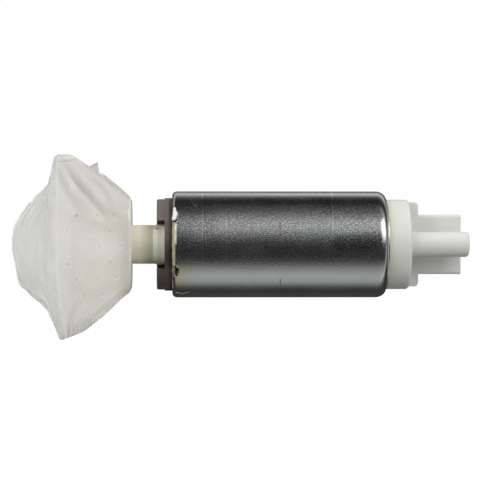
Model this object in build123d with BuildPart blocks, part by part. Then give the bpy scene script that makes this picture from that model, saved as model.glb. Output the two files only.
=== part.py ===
"""In-tank fuel pump with its strainer, in millimetres.

X runs along the pump towards the outlet, Z is up and -Y is the side that the nipple is on.
The origin is on the pump's axis, halfway along the steel shell.
"""

import os
from math import cos, radians, sin, sqrt

from build123d import *

# Steel shell
shell_radius = 19.0
shell_wall = 1.5
inlet_corner = 1.7
outlet_corner = 2.7
stake_spread = 60.0
stake_radius = 1.3
stake_setback = 1.2
stake_proud = 0.4

# Clearances
slip = 0.1
snug = 0.05
running = 0.03
press = 0.02

# Inlet cover and inlet stub
nose_radius = 16.6
nose_depth = 2.7
block_radius = 16.2
block_height = 2.8
block_chamfer = 0.4
slot_width = 16.9
cover_flange = 4.0
inlet_offset = 8.0
stub_radius = 5.5
stub_bore = 4.2
stub_reach = 10.3
tab_radius = 6.75
tab_length = 2.1
tab_setback = 2.1
stub_lead = 0.5

# Strainer neck and plate
neck_radius = 6.85
neck_length = 11.6
collar_radius = 7.15
collar_length = 3.1
window_height = 11.5
plate_thickness = 1.55
plate_height = 32.6
plate_depth = 26.0
plate_corner = 9.0
plate_edge = 1.1

# Strainer sock and its spreader
sock_wall = 0.8
sock_inset = 1.2
sock_drop = 0.5
seam_reach = 22.6
seam_width = 3.8
spreader_ring = 1.2
spreader_ring_radius = 10.5
spreader_ribs = 6
spreader_rib_width = 1.0
spreader_rib_depth = 2.4
spreader_hoop_radius = 21.0
spreader_length = 18.5

# Pumping chamber and impeller
impeller_radius = 15.0
impeller_thickness = 3.8
impeller_gap = 0.05
rim_gap = 0.3
web_thickness = 0.6
vane_count = 36
vane_thickness = 0.85
vane_root_radius = 11.5
balance_hole_radius = 1.1
balance_hole_circle = 7.0
balance_hole_count = 5
channel_circle = 12.9
channel_radius = 1.6
channel_arc = 300.0
housing_wall = 4.1
housing_rim = 3.5
housing_rim_width = 1.7
outlet_port_radius = 1.4
outlet_port_angle = 12.0
boss_radius = 6.0
boss_length = 2.8

# Shaft, bushes and thrust button
shaft_radius = 2.0
shaft_flat = 0.4
shaft_chamfer = 0.3
shaft_overrun = 0.6
bush_inset = 0.2
bush_wall = 1.9
bush_length = 6.4
upper_bush_wall = 1.2
upper_bush_length = 5.0
button_radius = 2.5
button_length = 2.0
button_recess = 1.3
button_crown = 0.5
shaft_end_gap = 0.05

# Magnets and clips
magnet_overhang = 5.0
magnet_wall = 4.2
magnet_arc = 136.0
clip_thickness = 0.5
clip_setback = 3.0
clip_play = 3.0
clip_leg = 3.0

# Armature and commutator
air_gap = 0.6
core_setback = 3.0
core_length = 28.0
core_hub_radius = 5.5
tooth_count = 8
tooth_width = 3.0
pole_thickness = 1.5
slot_opening = 1.6
winding_gap = 0.1
end_turn = 3.2
end_turn_round = 1.2
commutator_setback = 1.4
commutator_hub_radius = 8.5
commutator_hub_length = 3.2
commutator_radius = 9.5
commutator_bore = 3.6
bar_thickness = 2.5
bar_gap = 0.5
hook_width = 1.2
hook_length = 1.6

# Brush holder and brushes
holder_skirt = 8.0
holder_skirt_wall = 1.6
holder_plate = 3.0
boss_wall = 1.15
flow_hole_radius = 2.6
flow_hole_circle = 11.0
brush_width = 5.0
brush_height = 4.0
brush_length = 8.0
brush_centre = 6.6
brush_gap = 0.05
brush_chamfer = 0.3
guide_wall = 0.95
guide_setback = 0.9
guide_reach = 4.3
guide_room = 1.7
lead_slot = 1.4
lead_radius = 0.35
lead_setback = 1.3
lead_clear = 0.7
lead_rise = 3.0
lead_bend = 0.7
spring_gap = 0.05
brush_spring_radius = 1.3
brush_spring_wire = 0.22
brush_spring_turns = 4
wire_sides = 6

# Outlet cap
cap_flange = 5.1
cap_radius = 16.05
cap_height = 8.1
cap_round = 1.2
cap_skirt_radius = 15.2
cap_cavity_radius = 13.6
cavity_roof = 1.5
platform_radius = 15.15
platform_height = 3.7
platform_round = 1.5

# Outlet nipple
nipple_radius = 4.45
nipple_offset = 8.0
nipple_reach = 28.9
nipple_bore = 2.9
nipple_round = 1.3
nipple_root = 0.8

# Connector shroud and terminals
shroud_width = 21.4
shroud_depth = 10.0
shroud_front = 0.5
shroud_reach = 27.2
shroud_wall = 1.45
shroud_round = 1.0
shroud_lip = 0.4
socket_depth = 12.0
terminal_spacing = 7.6
terminal_width = 2.8
terminal_thickness = 0.8
terminal_recess = 5.0
terminal_lead = 0.25
foot_width = 3.0
foot_thickness = 0.5

# Chokes beside the brushes
choke_offset_y = 7.6
choke_offset_z = 8.4
choke_core_radius = 1.2
choke_coil_radius = 2.0
choke_coil_length = 5.4

# Check valve in the nipple's root
check_chamber_radius = 4.0
check_seat_length = 2.0
check_seat_bore = 2.4
poppet_radius = 3.2
poppet_head = 1.5
poppet_stem_radius = 1.0
poppet_nose = 1.0
stem_engagement = 1.0
retainer_length = 2.4
retainer_ring = 0.8
retainer_hub_radius = 2.0
retainer_spoke = 0.9
retainer_spokes = 3
check_spring_radius = 1.55
check_spring_wire = 0.22
check_spring_turns = 4

# Relief valve beside it
relief_y = -5.5
relief_z = -10.4
relief_wall = 3.0
relief_seat_bore = 1.2
relief_chamber_radius = 2.3
relief_ball_radius = 1.9
relief_plug_length = 2.4
relief_plug_recess = 0.3
relief_vent_radius = 0.9
relief_spring_radius = 1.4
relief_spring_wire = 0.2
relief_spring_turns = 3

# Lengths that follow from what the shell holds
magnet_length = core_setback + core_length + magnet_overhang
chamber_length = cover_flange + impeller_thickness + 2 * impeller_gap + housing_wall + housing_rim
brush_room_length = holder_skirt + holder_plate + guide_reach + guide_room
shell_length = 2 * shell_wall + chamber_length + magnet_length + brush_room_length + cap_flange

# Places along the shell, from the inlet end to the outlet end
inlet_rim = -shell_length / 2
outlet_rim = shell_length / 2
inlet_seat = inlet_rim + shell_wall
outlet_seat = outlet_rim - shell_wall
shell_bore = shell_radius - shell_wall
fit_radius = shell_bore - slip
nose_face = inlet_rim - nose_depth
block_face = nose_face - block_height
cover_face = inlet_seat + cover_flange
housing_floor = cover_face + impeller_thickness + 2 * impeller_gap
housing_back = housing_floor + housing_wall
magnet_seat = housing_back + housing_rim
magnet_end = magnet_seat + magnet_length
core_start = magnet_seat + core_setback
core_end = core_start + core_length
bar_start = core_end + end_turn + commutator_setback + commutator_hub_length
commutator_face = bar_start + bar_thickness
holder_front = magnet_end + holder_skirt
holder_back = holder_front + holder_plate
guide_end = holder_back + guide_reach
brush_start = commutator_face + brush_gap
brush_end = brush_start + brush_length
cap_inner_face = outlet_seat - cap_flange
cavity_face = cap_inner_face + cavity_roof
cap_face = outlet_rim + cap_height
button_face = cover_face - button_recess
shaft_start = button_face + shaft_end_gap
upper_bush_start = holder_front + bush_inset
shaft_end = upper_bush_start + upper_bush_length + shaft_overrun
plate_face = nose_face - neck_length
sock_face = plate_face - plate_thickness
tab_end = nose_face - tab_setback
tab_start = tab_end - tab_length

# Radii that follow from what each piece fits in or round
stub_hole = stub_radius + snug
ferrule_bore = stub_radius + slip
lower_bush_radius = shaft_radius + running + bush_wall
upper_bush_radius = shaft_radius + running + upper_bush_wall
magnet_outer = shell_bore - snug
magnet_inner = magnet_outer - magnet_wall
core_radius = magnet_inner - air_gap
slot_top = core_radius - pole_thickness
inlet_axis = Axis((0, -inlet_offset, 0), (1, 0, 0))
nipple_axis = Axis((0, -nipple_offset, 0), (1, 0, 0))
relief_axis = Axis((0, relief_y, relief_z), (1, 0, 0))


def section(x):
    """Plane across the pump at x, with Y to the right and Z up."""
    return Plane.YZ.offset(x)


def radial_plane(angle, centre_y=0.0):
    """Plane through the line along X at y = centre_y, turned about that line by angle."""
    turn = radians(angle)
    return Plane(origin=(0, centre_y, 0), x_dir=(1, 0, 0), z_dir=(0, -cos(turn), -sin(turn)))


def corner(profile, x, y):
    """The profile's corner nearest to (x, y) in its own plane."""
    return profile.vertices().sort_by_distance((x, y, 0))[0]


def ring_sector(inner, outer, middle, arc):
    """Sketch of part of a ring, centred on the angle named middle."""
    first = middle - arc / 2
    with BuildSketch() as sector:
        with BuildLine():
            outside = CenterArc((0, 0), outer, first, arc)
            inside = CenterArc((0, 0), inner, first, arc)
            Line(outside @ 0, inside @ 0)
            Line(outside @ 1, inside @ 1)
        make_face()
    return sector.sketch


def tube(start, end, inner, outer, axis=Axis.X):
    """Plain round tube along X between two places."""
    place = (axis.position.Y, axis.position.Z)
    with BuildPart() as made:
        with BuildSketch(section(start)):
            with Locations(place):
                Circle(outer)
                if inner > 0:
                    Circle(inner, mode=Mode.SUBTRACT)
        extrude(amount=end - start)
    return made.part


def coil(start, end, radius, wire, turns, place):
    """Open compression spring along X between two places, centred at (y, z) = place."""
    height = end - start - 2 * wire
    with BuildPart() as spring:
        with BuildLine() as path:
            Helix(height / turns, height, radius, center=(start + wire, *place), direction=(1, 0, 0))
        with BuildSketch(Plane(origin=path.line @ 0, z_dir=path.line % 0)):
            RegularPolygon(radius=wire, side_count=wire_sides)
        sweep(is_frenet=True)
    return spring.part


def write(part, name):
    """Labels one finished piece and writes it out."""
    part.label = name
    export_step(part, f"parts/{name}.step")


os.makedirs("parts", exist_ok=True)

# Shell: drawn tube, both ends rolled in, the inlet rim staked over the cover by two pits at each side
lip_radius = nose_radius + slip
outlet_lip_radius = cap_radius + slip
with BuildPart() as pump_shell:
    with BuildSketch(Plane.XZ) as shell_profile:
        with BuildLine():
            Polyline(
                (inlet_rim, lip_radius),
                (inlet_rim, shell_radius),
                (outlet_rim, shell_radius),
                (outlet_rim, outlet_lip_radius),
                (outlet_seat, outlet_lip_radius),
                (outlet_seat, shell_bore),
                (inlet_seat, shell_bore),
                (inlet_seat, lip_radius),
                close=True,
            )
        make_face()
        fillet(corner(shell_profile, inlet_rim, shell_radius), inlet_corner)
        fillet(corner(shell_profile, outlet_rim, shell_radius), outlet_corner)
        fillet(corner(shell_profile, inlet_seat, shell_bore), inlet_corner - shell_wall)
        fillet(corner(shell_profile, outlet_seat, shell_bore), outlet_corner - shell_wall)
    revolve(axis=Axis.X)
    with Locations(section(inlet_rim + stake_setback)):
        for middle in (0, 180):
            with PolarLocations(shell_radius + stake_proud, 2, middle - stake_spread / 2, 2 * stake_spread):
                Sphere(stake_radius, mode=Mode.SUBTRACT)
write(pump_shell.part, "pump_shell")

# Inlet cover: disc behind the shell's lip, raised block with a slot for the strainer's neck
with BuildPart() as inlet_cover:
    with BuildSketch(Plane.XZ) as cover_profile:
        with BuildLine():
            Polyline(
                (block_face, 0),
                (block_face, block_radius),
                (nose_face, block_radius),
                (nose_face, nose_radius),
                (inlet_seat, nose_radius),
                (inlet_seat, fit_radius),
                (cover_face, fit_radius),
                (cover_face, 0),
                close=True,
            )
        make_face()
        chamfer(corner(cover_profile, block_face, block_radius), block_chamfer)
        chamfer(corner(cover_profile, inlet_seat, fit_radius), block_chamfer)
    revolve(axis=Axis.X)
    with BuildSketch(section(block_face)):
        with Locations((-inlet_offset, 0)):
            Circle(slot_width / 2)
        with Locations((-inlet_offset - block_radius / 2, 0)):
            Rectangle(block_radius, slot_width)
    extrude(amount=block_height, mode=Mode.SUBTRACT)
    with BuildSketch(section(nose_face)):
        with Locations((-inlet_offset, 0)):
            Circle(stub_hole)
    extrude(amount=inlet_seat - nose_face, mode=Mode.SUBTRACT)
    with BuildSketch(section(inlet_seat)):
        with Locations((-inlet_offset, 0)):
            Circle(stub_bore)
    extrude(amount=cover_flange, mode=Mode.SUBTRACT)
    with BuildSketch(section(cover_face)):
        Circle(button_radius + press)
    extrude(amount=-button_recess - button_length, mode=Mode.SUBTRACT)
    with BuildSketch(Plane.XY):
        with Locations((cover_face, -channel_circle)):
            Circle(channel_radius)
    revolve(axis=Axis.X, revolution_arc=channel_arc, mode=Mode.SUBTRACT)
write(inlet_cover.part, "inlet_cover")

# Inlet stub: tube pressed in the cover, with two snap tabs that sit flush in the strainer's windows
with BuildPart() as snap_tabs:
    with BuildSketch(section(tab_start + snug)):
        with Locations((-inlet_offset, 0)):
            Circle(tab_radius)
            Rectangle(2 * tab_radius, window_height - 2 * snug, mode=Mode.INTERSECT)
            Circle((stub_bore + stub_radius) / 2, mode=Mode.SUBTRACT)
    extrude(amount=tab_length - 2 * snug)
with BuildPart() as inlet_stub:
    with BuildSketch(Plane.XZ.offset(inlet_offset)) as stub_profile:
        with BuildLine():
            Polyline(
                (nose_face - stub_reach, stub_bore),
                (nose_face - stub_reach, stub_radius),
                (inlet_seat, stub_radius),
                (inlet_seat, stub_bore),
                close=True,
            )
        make_face()
        chamfer(corner(stub_profile, nose_face - stub_reach, stub_radius), stub_lead)
    revolve(axis=inlet_axis)
    add(snap_tabs.part)
write(inlet_stub.part, "inlet_stub")

# Strainer neck: moulded tube with an end collar, two snap windows and a flat plate
with BuildPart() as strainer_ferrule:
    with BuildSketch(Plane.XZ.offset(inlet_offset)):
        with BuildLine():
            Polyline(
                (plate_face, ferrule_bore),
                (plate_face, neck_radius),
                (nose_face - collar_length, neck_radius),
                (nose_face - collar_length, collar_radius),
                (nose_face, collar_radius),
                (nose_face, ferrule_bore),
                close=True,
            )
        make_face()
    revolve(axis=inlet_axis)
    with BuildSketch(section(sock_face)):
        with Locations((-inlet_offset, 0)):
            RectangleRounded(plate_depth, plate_height, plate_corner)
            Circle(ferrule_bore, mode=Mode.SUBTRACT)
    extrude(amount=plate_thickness)
    plate_rim = strainer_ferrule.faces().filter_by(Plane.YZ).sort_by(Axis.X)[1]
    fillet(plate_rim.outer_wire().edges(), plate_edge)
    with BuildSketch(Plane.XZ):
        with Locations(((tab_start + tab_end) / 2, 0)):
            Rectangle(tab_length, window_height)
    extrude(amount=inlet_offset + collar_radius, mode=Mode.SUBTRACT)
write(strainer_ferrule.part, "strainer_ferrule")


def sock_form(stations, inset):
    """Closed bag form through its stations, drawn in by inset all round."""
    with BuildPart() as form:
        for reach, half_height, half_depth, middle in stations:
            with BuildSketch(section(sock_face - reach)):
                with Locations((-inlet_offset, middle)):
                    Ellipse(half_depth - inset, half_height - inset)
        loft(ruled=True)
    return form.part


# Strainer sock: two woven halves with a welded rim between them, closed but for the neck's hole
seam_end = seam_reach + seam_width
plate_station = (0, plate_height / 2, plate_depth / 2, -sock_drop)
cone_stations = [(7.2, 23.6, 19.6, -0.4), (13.4, 28.3, 23.9, -0.6), (20.2, 31.9, 27.2, -0.7)]
seam_start = (seam_reach, 33.2, 28.2, -0.9)
seam_stop = (seam_end, 33.2, 28.2, -0.9)
dome_start = (seam_end, 26.3, 27.2, -0.2)
dome_stations = [
    (27.8, 23.3, 26.2, -0.8),
    (31.0, 19.4, 23.2, -1.2),
    (34.7, 15.5, 18.4, -1.8),
    (37.7, 11.7, 12.6, -2.3),
    (39.7, 6.3, 6.2, -2.6),
]
tip_station = (40.5, 3.0, 3.0, -2.6)
inner_start = (sock_wall, plate_height / 2, plate_depth / 2, -sock_drop)
inner_seam = (seam_reach, 26.3, 27.2, -0.5)
inner_tip = (tip_station[0] - sock_wall, 3.0, 3.0, -2.6)
with BuildPart() as strainer_sock:
    add(sock_form([plate_station] + cone_stations + [seam_start, seam_stop], 0))
    add(sock_form([dome_start] + dome_stations + [tip_station], 0))
    add(
        sock_form([inner_start] + cone_stations + [inner_seam] + dome_stations + [inner_tip], sock_inset),
        mode=Mode.SUBTRACT,
    )
    with BuildSketch(section(sock_face)):
        with Locations((-inlet_offset, 0)):
            Circle(ferrule_bore)
    extrude(amount=-2 * sock_wall, mode=Mode.SUBTRACT)
write(strainer_sock.part, "strainer_sock")

# Spreader: ring behind the neck, sloping ribs and a hoop that hold the sock open
ring_face = sock_face - sock_wall
hoop_face = ring_face - spreader_length
with BuildPart() as strainer_spreader:
    add(tube(ring_face - spreader_ring, ring_face, ferrule_bore, spreader_ring_radius, inlet_axis))
    add(
        tube(
            hoop_face,
            hoop_face + spreader_ring,
            spreader_hoop_radius - spreader_rib_depth,
            spreader_hoop_radius,
            inlet_axis,
        )
    )
    for rib in range(spreader_ribs):
        with BuildSketch(radial_plane(rib * 360 / spreader_ribs, -inlet_offset)):
            with BuildLine():
                Polyline(
                    (ring_face - spreader_ring, spreader_ring_radius - spreader_rib_depth),
                    (ring_face - spreader_ring / 2, spreader_ring_radius),
                    (hoop_face + spreader_ring, spreader_hoop_radius),
                    (hoop_face, spreader_hoop_radius - spreader_rib_depth / 2),
                    (hoop_face + spreader_ring, spreader_hoop_radius - spreader_rib_depth),
                    close=True,
                )
            make_face()
        extrude(amount=spreader_rib_width / 2, both=True)
write(strainer_spreader.part, "strainer_spreader")

# Pump housing: impeller pocket and flow channel on one face, bush and magnet seat on the other
with BuildPart() as pump_housing:
    with BuildSketch(Plane.XZ):
        with BuildLine():
            Polyline(
                (cover_face, impeller_radius + rim_gap),
                (cover_face, fit_radius),
                (magnet_seat, fit_radius),
                (magnet_seat, fit_radius - housing_rim_width),
                (housing_back, fit_radius - housing_rim_width),
                (housing_back, boss_radius),
                (housing_back + boss_length, boss_radius),
                (housing_back + boss_length, lower_bush_radius + press),
                (housing_floor, lower_bush_radius + press),
                (housing_floor, impeller_radius + rim_gap),
                close=True,
            )
        make_face()
    revolve(axis=Axis.X)
    with BuildSketch(Plane.XY):
        with Locations((housing_floor, -channel_circle)):
            Circle(channel_radius)
    revolve(axis=Axis.X, revolution_arc=channel_arc, mode=Mode.SUBTRACT)
    with BuildSketch(section(housing_floor)):
        with PolarLocations(channel_circle, 1, start_angle=180 + channel_arc - outlet_port_angle):
            Circle(outlet_port_radius)
    extrude(amount=housing_wall, mode=Mode.SUBTRACT)
write(pump_housing.part, "pump_housing")

# Thrust button under the shaft's end, and the two bushes
with BuildPart() as thrust_button:
    with BuildSketch(section(button_face - button_length)):
        Circle(button_radius)
    extrude(amount=button_length)
    fillet(thrust_button.edges().filter_by(GeomType.CIRCLE).group_by(Axis.X)[-1], button_crown)
write(thrust_button.part, "thrust_button")
lower_bush_start = housing_floor + bush_inset
lower_bush = tube(
    lower_bush_start, lower_bush_start + bush_length, shaft_radius + running, lower_bush_radius
)
write(lower_bush, "lower_bush")
upper_bush = tube(
    upper_bush_start, upper_bush_start + upper_bush_length, shaft_radius + running, upper_bush_radius
)
write(upper_bush, "upper_bush")

# Impeller: turbine wheel with vanes in both faces of its rim, driven by a flat on the shaft
impeller_start = cover_face + impeller_gap
vane_depth = (impeller_thickness - web_thickness) / 2
with BuildPart() as impeller:
    with BuildSketch(section(impeller_start)):
        Circle(impeller_radius)
        with PolarLocations(balance_hole_circle, balance_hole_count):
            Circle(balance_hole_radius, mode=Mode.SUBTRACT)
    extrude(amount=impeller_thickness)
    for face, way in ((impeller_start, 1), (impeller_start + impeller_thickness, -1)):
        with BuildSketch(section(face)):
            Circle(impeller_radius + rim_gap)
            Circle(vane_root_radius, mode=Mode.SUBTRACT)
            with PolarLocations((vane_root_radius + impeller_radius) / 2, vane_count):
                Rectangle(2 * impeller_radius - 2 * vane_root_radius, vane_thickness, mode=Mode.SUBTRACT)
        extrude(amount=way * vane_depth, mode=Mode.SUBTRACT)
    with BuildSketch(section(impeller_start)):
        Circle(shaft_radius + running)
        with Locations((0, 2 * shaft_radius - shaft_flat + running)):
            Rectangle(4 * shaft_radius, 2 * shaft_radius, mode=Mode.SUBTRACT)
    extrude(amount=impeller_thickness, mode=Mode.SUBTRACT)
write(impeller.part, "impeller")

# Shaft: ground rod with the impeller's flat at its lower end
with BuildPart() as shaft:
    with BuildSketch(section(shaft_start)):
        Circle(shaft_radius)
    extrude(amount=shaft_end - shaft_start)
    chamfer(shaft.edges().filter_by(GeomType.CIRCLE), shaft_chamfer)
    with BuildSketch(section(shaft_start)):
        with Locations((0, 2 * shaft_radius - shaft_flat)):
            Rectangle(4 * shaft_radius, 2 * shaft_radius)
    extrude(amount=impeller_start + impeller_thickness - shaft_start, mode=Mode.SUBTRACT)
write(shaft.part, "shaft")

# Magnets on the front and back of the shell, clips above and below between them
for name, middle in (("magnet_a", 180), ("magnet_b", 0)):
    with BuildPart() as magnet:
        with BuildSketch(section(magnet_seat)):
            add(ring_sector(magnet_inner, magnet_outer, middle, magnet_arc))
        extrude(amount=magnet_length)
    write(magnet.part, name)
clip_arc = 180 - magnet_arc - clip_play
for name, middle in (("magnet_clip_a", 90), ("magnet_clip_b", 270)):
    with BuildPart() as clip:
        with BuildSketch(section(magnet_seat + clip_setback)):
            add(ring_sector(magnet_outer - clip_thickness, magnet_outer, middle, clip_arc))
            for side in (-1, 1):
                with Locations(Location((0, 0, 0), (0, 0, middle + side * (clip_arc / 2 - clip_play / 2)))):
                    with Locations((magnet_outer - clip_thickness / 2 - clip_leg / 2, 0)):
                        Rectangle(clip_leg, clip_thickness)
        extrude(amount=magnet_length - 2 * clip_setback)
    write(clip.part, name)

# Armature: stack with T-shaped teeth, and the windings that fill its slots and turn over its ends
tooth_middle = (core_hub_radius + slot_top) / 2
tooth_height = slot_top - core_hub_radius + pole_thickness
with BuildPart() as armature_core:
    with BuildSketch(section(core_start)):
        Circle(core_radius)
        Circle(slot_top, mode=Mode.SUBTRACT)
        with PolarLocations(core_radius, tooth_count, start_angle=180 / tooth_count):
            Rectangle(4 * pole_thickness, slot_opening, mode=Mode.SUBTRACT)
        with PolarLocations(tooth_middle, tooth_count):
            Rectangle(tooth_height, tooth_width)
        Circle(core_hub_radius)
        Circle(shaft_radius + press, mode=Mode.SUBTRACT)
    extrude(amount=core_length)
write(armature_core.part, "armature_core")
winding_inner = core_hub_radius + winding_gap
winding_outer = slot_top - winding_gap
with BuildPart() as armature_windings:
    with BuildSketch(section(core_start)):
        Circle(winding_outer)
        Circle(winding_inner, mode=Mode.SUBTRACT)
        with PolarLocations(tooth_middle, tooth_count):
            Rectangle(tooth_height, tooth_width + 2 * winding_gap, mode=Mode.SUBTRACT)
    extrude(amount=core_length)
    for near, far in ((core_end, core_end + end_turn), (core_start, core_start - end_turn)):
        with BuildSketch(Plane.XZ) as turn_profile:
            with Locations(((near + far) / 2, (winding_inner + winding_outer) / 2)):
                Rectangle(end_turn, winding_outer - winding_inner)
            fillet(corner(turn_profile, far, winding_inner), end_turn_round)
            fillet(corner(turn_profile, far, winding_outer), end_turn_round)
        revolve(axis=Axis.X)
write(armature_windings.part, "armature_windings")

# Commutator: moulded hub and a face of separate copper bars, each with its wire hook
commutator_hub = tube(
    bar_start - commutator_hub_length, bar_start, shaft_radius + press, commutator_hub_radius
)
write(commutator_hub, "commutator_hub")
with BuildPart() as commutator_bars:
    with BuildSketch(section(bar_start)):
        Circle(commutator_radius)
        Circle(commutator_bore, mode=Mode.SUBTRACT)
        with PolarLocations(commutator_radius, tooth_count, start_angle=180 / tooth_count):
            Rectangle(2 * commutator_radius, bar_gap, mode=Mode.SUBTRACT)
    extrude(amount=bar_thickness)
    with BuildSketch(section(bar_start)):
        with PolarLocations((commutator_hub_radius + snug + commutator_radius) / 2, tooth_count):
            Rectangle(commutator_radius - commutator_hub_radius - snug, hook_width)
    extrude(amount=-hook_length)
write(commutator_bars.part, "commutator_bars")

# Brush holder: skirt on the magnets, plate with flow holes, upper bush boss and two brush guides
guide_start = commutator_face + guide_setback
brush_room_width = brush_width + 2 * slip
brush_room_height = brush_height + 2 * slip
brush_places = ((0, brush_centre), (0, -brush_centre))
with BuildPart() as brush_holder:
    with BuildSketch(section(magnet_end)):
        Circle(fit_radius)
        Circle(fit_radius - holder_skirt_wall, mode=Mode.SUBTRACT)
    extrude(amount=holder_skirt)
    with BuildSketch(section(holder_front)):
        Circle(fit_radius)
    extrude(amount=holder_plate)
    with BuildSketch(section(holder_front)):
        Circle(upper_bush_radius + boss_wall)
    extrude(amount=upper_bush_start + upper_bush_length - holder_front)
    with BuildSketch(section(guide_start)):
        with Locations(*brush_places):
            Rectangle(brush_room_width + 2 * guide_wall, brush_room_height + 2 * guide_wall)
    extrude(amount=guide_end - guide_start)
    with BuildSketch(section(guide_start)):
        with Locations(*brush_places):
            Rectangle(brush_room_width, brush_room_height)
        Circle(upper_bush_radius + press)
        with PolarLocations(flow_hole_circle, 2):
            Circle(flow_hole_radius)
    extrude(amount=guide_end - guide_start, mode=Mode.SUBTRACT)
    with BuildSketch(section(holder_back)):
        with Locations(*[(brush_room_width / 2 + guide_wall / 2, z) for y, z in brush_places]):
            Rectangle(2 * guide_wall, lead_slot)
    extrude(amount=guide_reach, mode=Mode.SUBTRACT)
write(brush_holder.part, "brush_holder")

# Brushes, the springs behind them, their leads and the chokes that the leads go to
lead_x = brush_end - lead_setback
for name, side in (("a", 1), ("b", -1)):
    with BuildPart() as brush:
        with BuildSketch(section(brush_start)):
            with Locations((0, side * brush_centre)):
                Rectangle(brush_width, brush_height)
        extrude(amount=brush_length)
        chamfer(brush.faces().sort_by(Axis.X)[-1].edges(), brush_chamfer)
    write(brush.part, f"brush_{name}")
    spring = coil(
        brush_end + spring_gap,
        cavity_face - spring_gap,
        brush_spring_radius,
        brush_spring_wire,
        brush_spring_turns,
        (0, side * brush_centre),
    )
    write(spring, f"brush_spring_{name}")

    choke_y = choke_offset_y
    choke_z = side * choke_offset_z
    choke_axis = Axis((0, choke_y, choke_z), (1, 0, 0))
    choke_top = cavity_face - foot_thickness - snug
    choke_core = tube(holder_back, choke_top, 0, choke_core_radius, choke_axis)
    write(choke_core, f"choke_core_{name}")
    coil_start = (holder_back + choke_top - choke_coil_length) / 2
    choke_coil = tube(
        coil_start, coil_start + choke_coil_length, choke_core_radius + press, choke_coil_radius, choke_axis
    )
    write(choke_coil, f"choke_coil_{name}")

    lead_y = brush_room_width / 2 + guide_wall + lead_clear
    lead_z = side * brush_centre
    lead_end_y = choke_y - choke_coil_radius - slip
    lead_end_z = choke_z - side * choke_coil_radius / 2
    with BuildPart() as brush_lead:
        with BuildLine() as lead_path:
            FilletPolyline(
                (lead_x, brush_width / 2, lead_z),
                (lead_x, lead_y, lead_z),
                (lead_x + lead_rise, lead_y, lead_end_z),
                (lead_x + lead_rise, lead_end_y, lead_end_z),
                radius=lead_bend,
            )
        with BuildSketch(Plane(origin=lead_path.line @ 0, z_dir=lead_path.line % 0)):
            Circle(lead_radius)
        sweep()
    write(brush_lead.part, f"brush_lead_{name}")

# Outlet cap: flange behind the shell's lip, platform, hose nipple and connector shroud in one
with BuildPart() as outlet_cap:
    with BuildSketch(Plane.XZ) as cap_profile:
        with BuildLine():
            Polyline(
                (holder_back, cap_cavity_radius),
                (holder_back, cap_skirt_radius),
                (cap_inner_face, cap_skirt_radius),
                (cap_inner_face, fit_radius),
                (outlet_seat, fit_radius),
                (outlet_seat, cap_radius),
                (cap_face, cap_radius),
                (cap_face, 0),
                (cavity_face, 0),
                (cavity_face, cap_cavity_radius),
                close=True,
            )
        make_face()
        fillet(corner(cap_profile, outlet_seat, fit_radius), outlet_corner - shell_wall + slip)
        fillet(corner(cap_profile, cap_face, cap_radius), cap_round)
    revolve(axis=Axis.X)
    with BuildSketch(section(cap_face)):
        Circle(platform_radius)
        with Locations((shroud_front + platform_radius, 0)):
            Rectangle(2 * platform_radius, 2 * platform_radius, mode=Mode.INTERSECT)
    extrude(amount=platform_height)
    platform_edges = outlet_cap.edges().filter_by(GeomType.CIRCLE).filter_by_position(
        Axis.X, cap_face + platform_height - snug, cap_face + platform_height + snug
    )
    fillet(platform_edges, platform_round)
    with BuildSketch(section(cap_face)):
        with Locations((shroud_front + shroud_depth / 2, 0)):
            RectangleRounded(shroud_depth, shroud_width, shroud_round)
    extrude(amount=outlet_rim + shroud_reach - cap_face)
    fillet(outlet_cap.faces().sort_by(Axis.X)[-1].edges(), shroud_lip)
    with BuildSketch(section(cap_face)):
        with Locations((-nipple_offset, 0)):
            Circle(nipple_radius)
    extrude(amount=outlet_rim + nipple_reach - cap_face)
    nipple_end = (outlet_rim + nipple_reach, -nipple_offset, 0)
    fillet(outlet_cap.edges().filter_by(GeomType.CIRCLE).sort_by_distance(nipple_end)[0], nipple_round)
    with BuildSketch(section(outlet_rim + shroud_reach)):
        with Locations((shroud_front + shroud_depth / 2, 0)):
            Rectangle(shroud_depth - 2 * shroud_wall, shroud_width - 2 * shroud_wall)
    extrude(amount=-socket_depth, mode=Mode.SUBTRACT)
    with BuildSketch(section(cavity_face)):
        with Locations((-nipple_offset, 0)):
            Circle(check_chamber_radius)
    extrude(amount=cap_face - nipple_root - cavity_face, mode=Mode.SUBTRACT)
    with BuildSketch(section(cavity_face)):
        with Locations((-nipple_offset, 0)):
            Circle(nipple_bore)
    extrude(amount=outlet_rim + nipple_reach - cavity_face, mode=Mode.SUBTRACT)
    with BuildSketch(section(cavity_face)):
        with Locations((relief_y, relief_z)):
            Circle(relief_seat_bore)
        with Locations(*[(shroud_front + shroud_depth / 2, s * terminal_spacing / 2) for s in (-1, 1)]):
            Rectangle(terminal_thickness + 2 * press, terminal_width + 2 * press)
    extrude(amount=outlet_rim + shroud_reach - cavity_face, mode=Mode.SUBTRACT)
    with BuildSketch(section(cavity_face + relief_wall)):
        with Locations((relief_y, relief_z)):
            Circle(relief_chamber_radius)
    extrude(amount=cap_height + shell_wall + cap_flange, mode=Mode.SUBTRACT)
write(outlet_cap.part, "outlet_cap")

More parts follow.
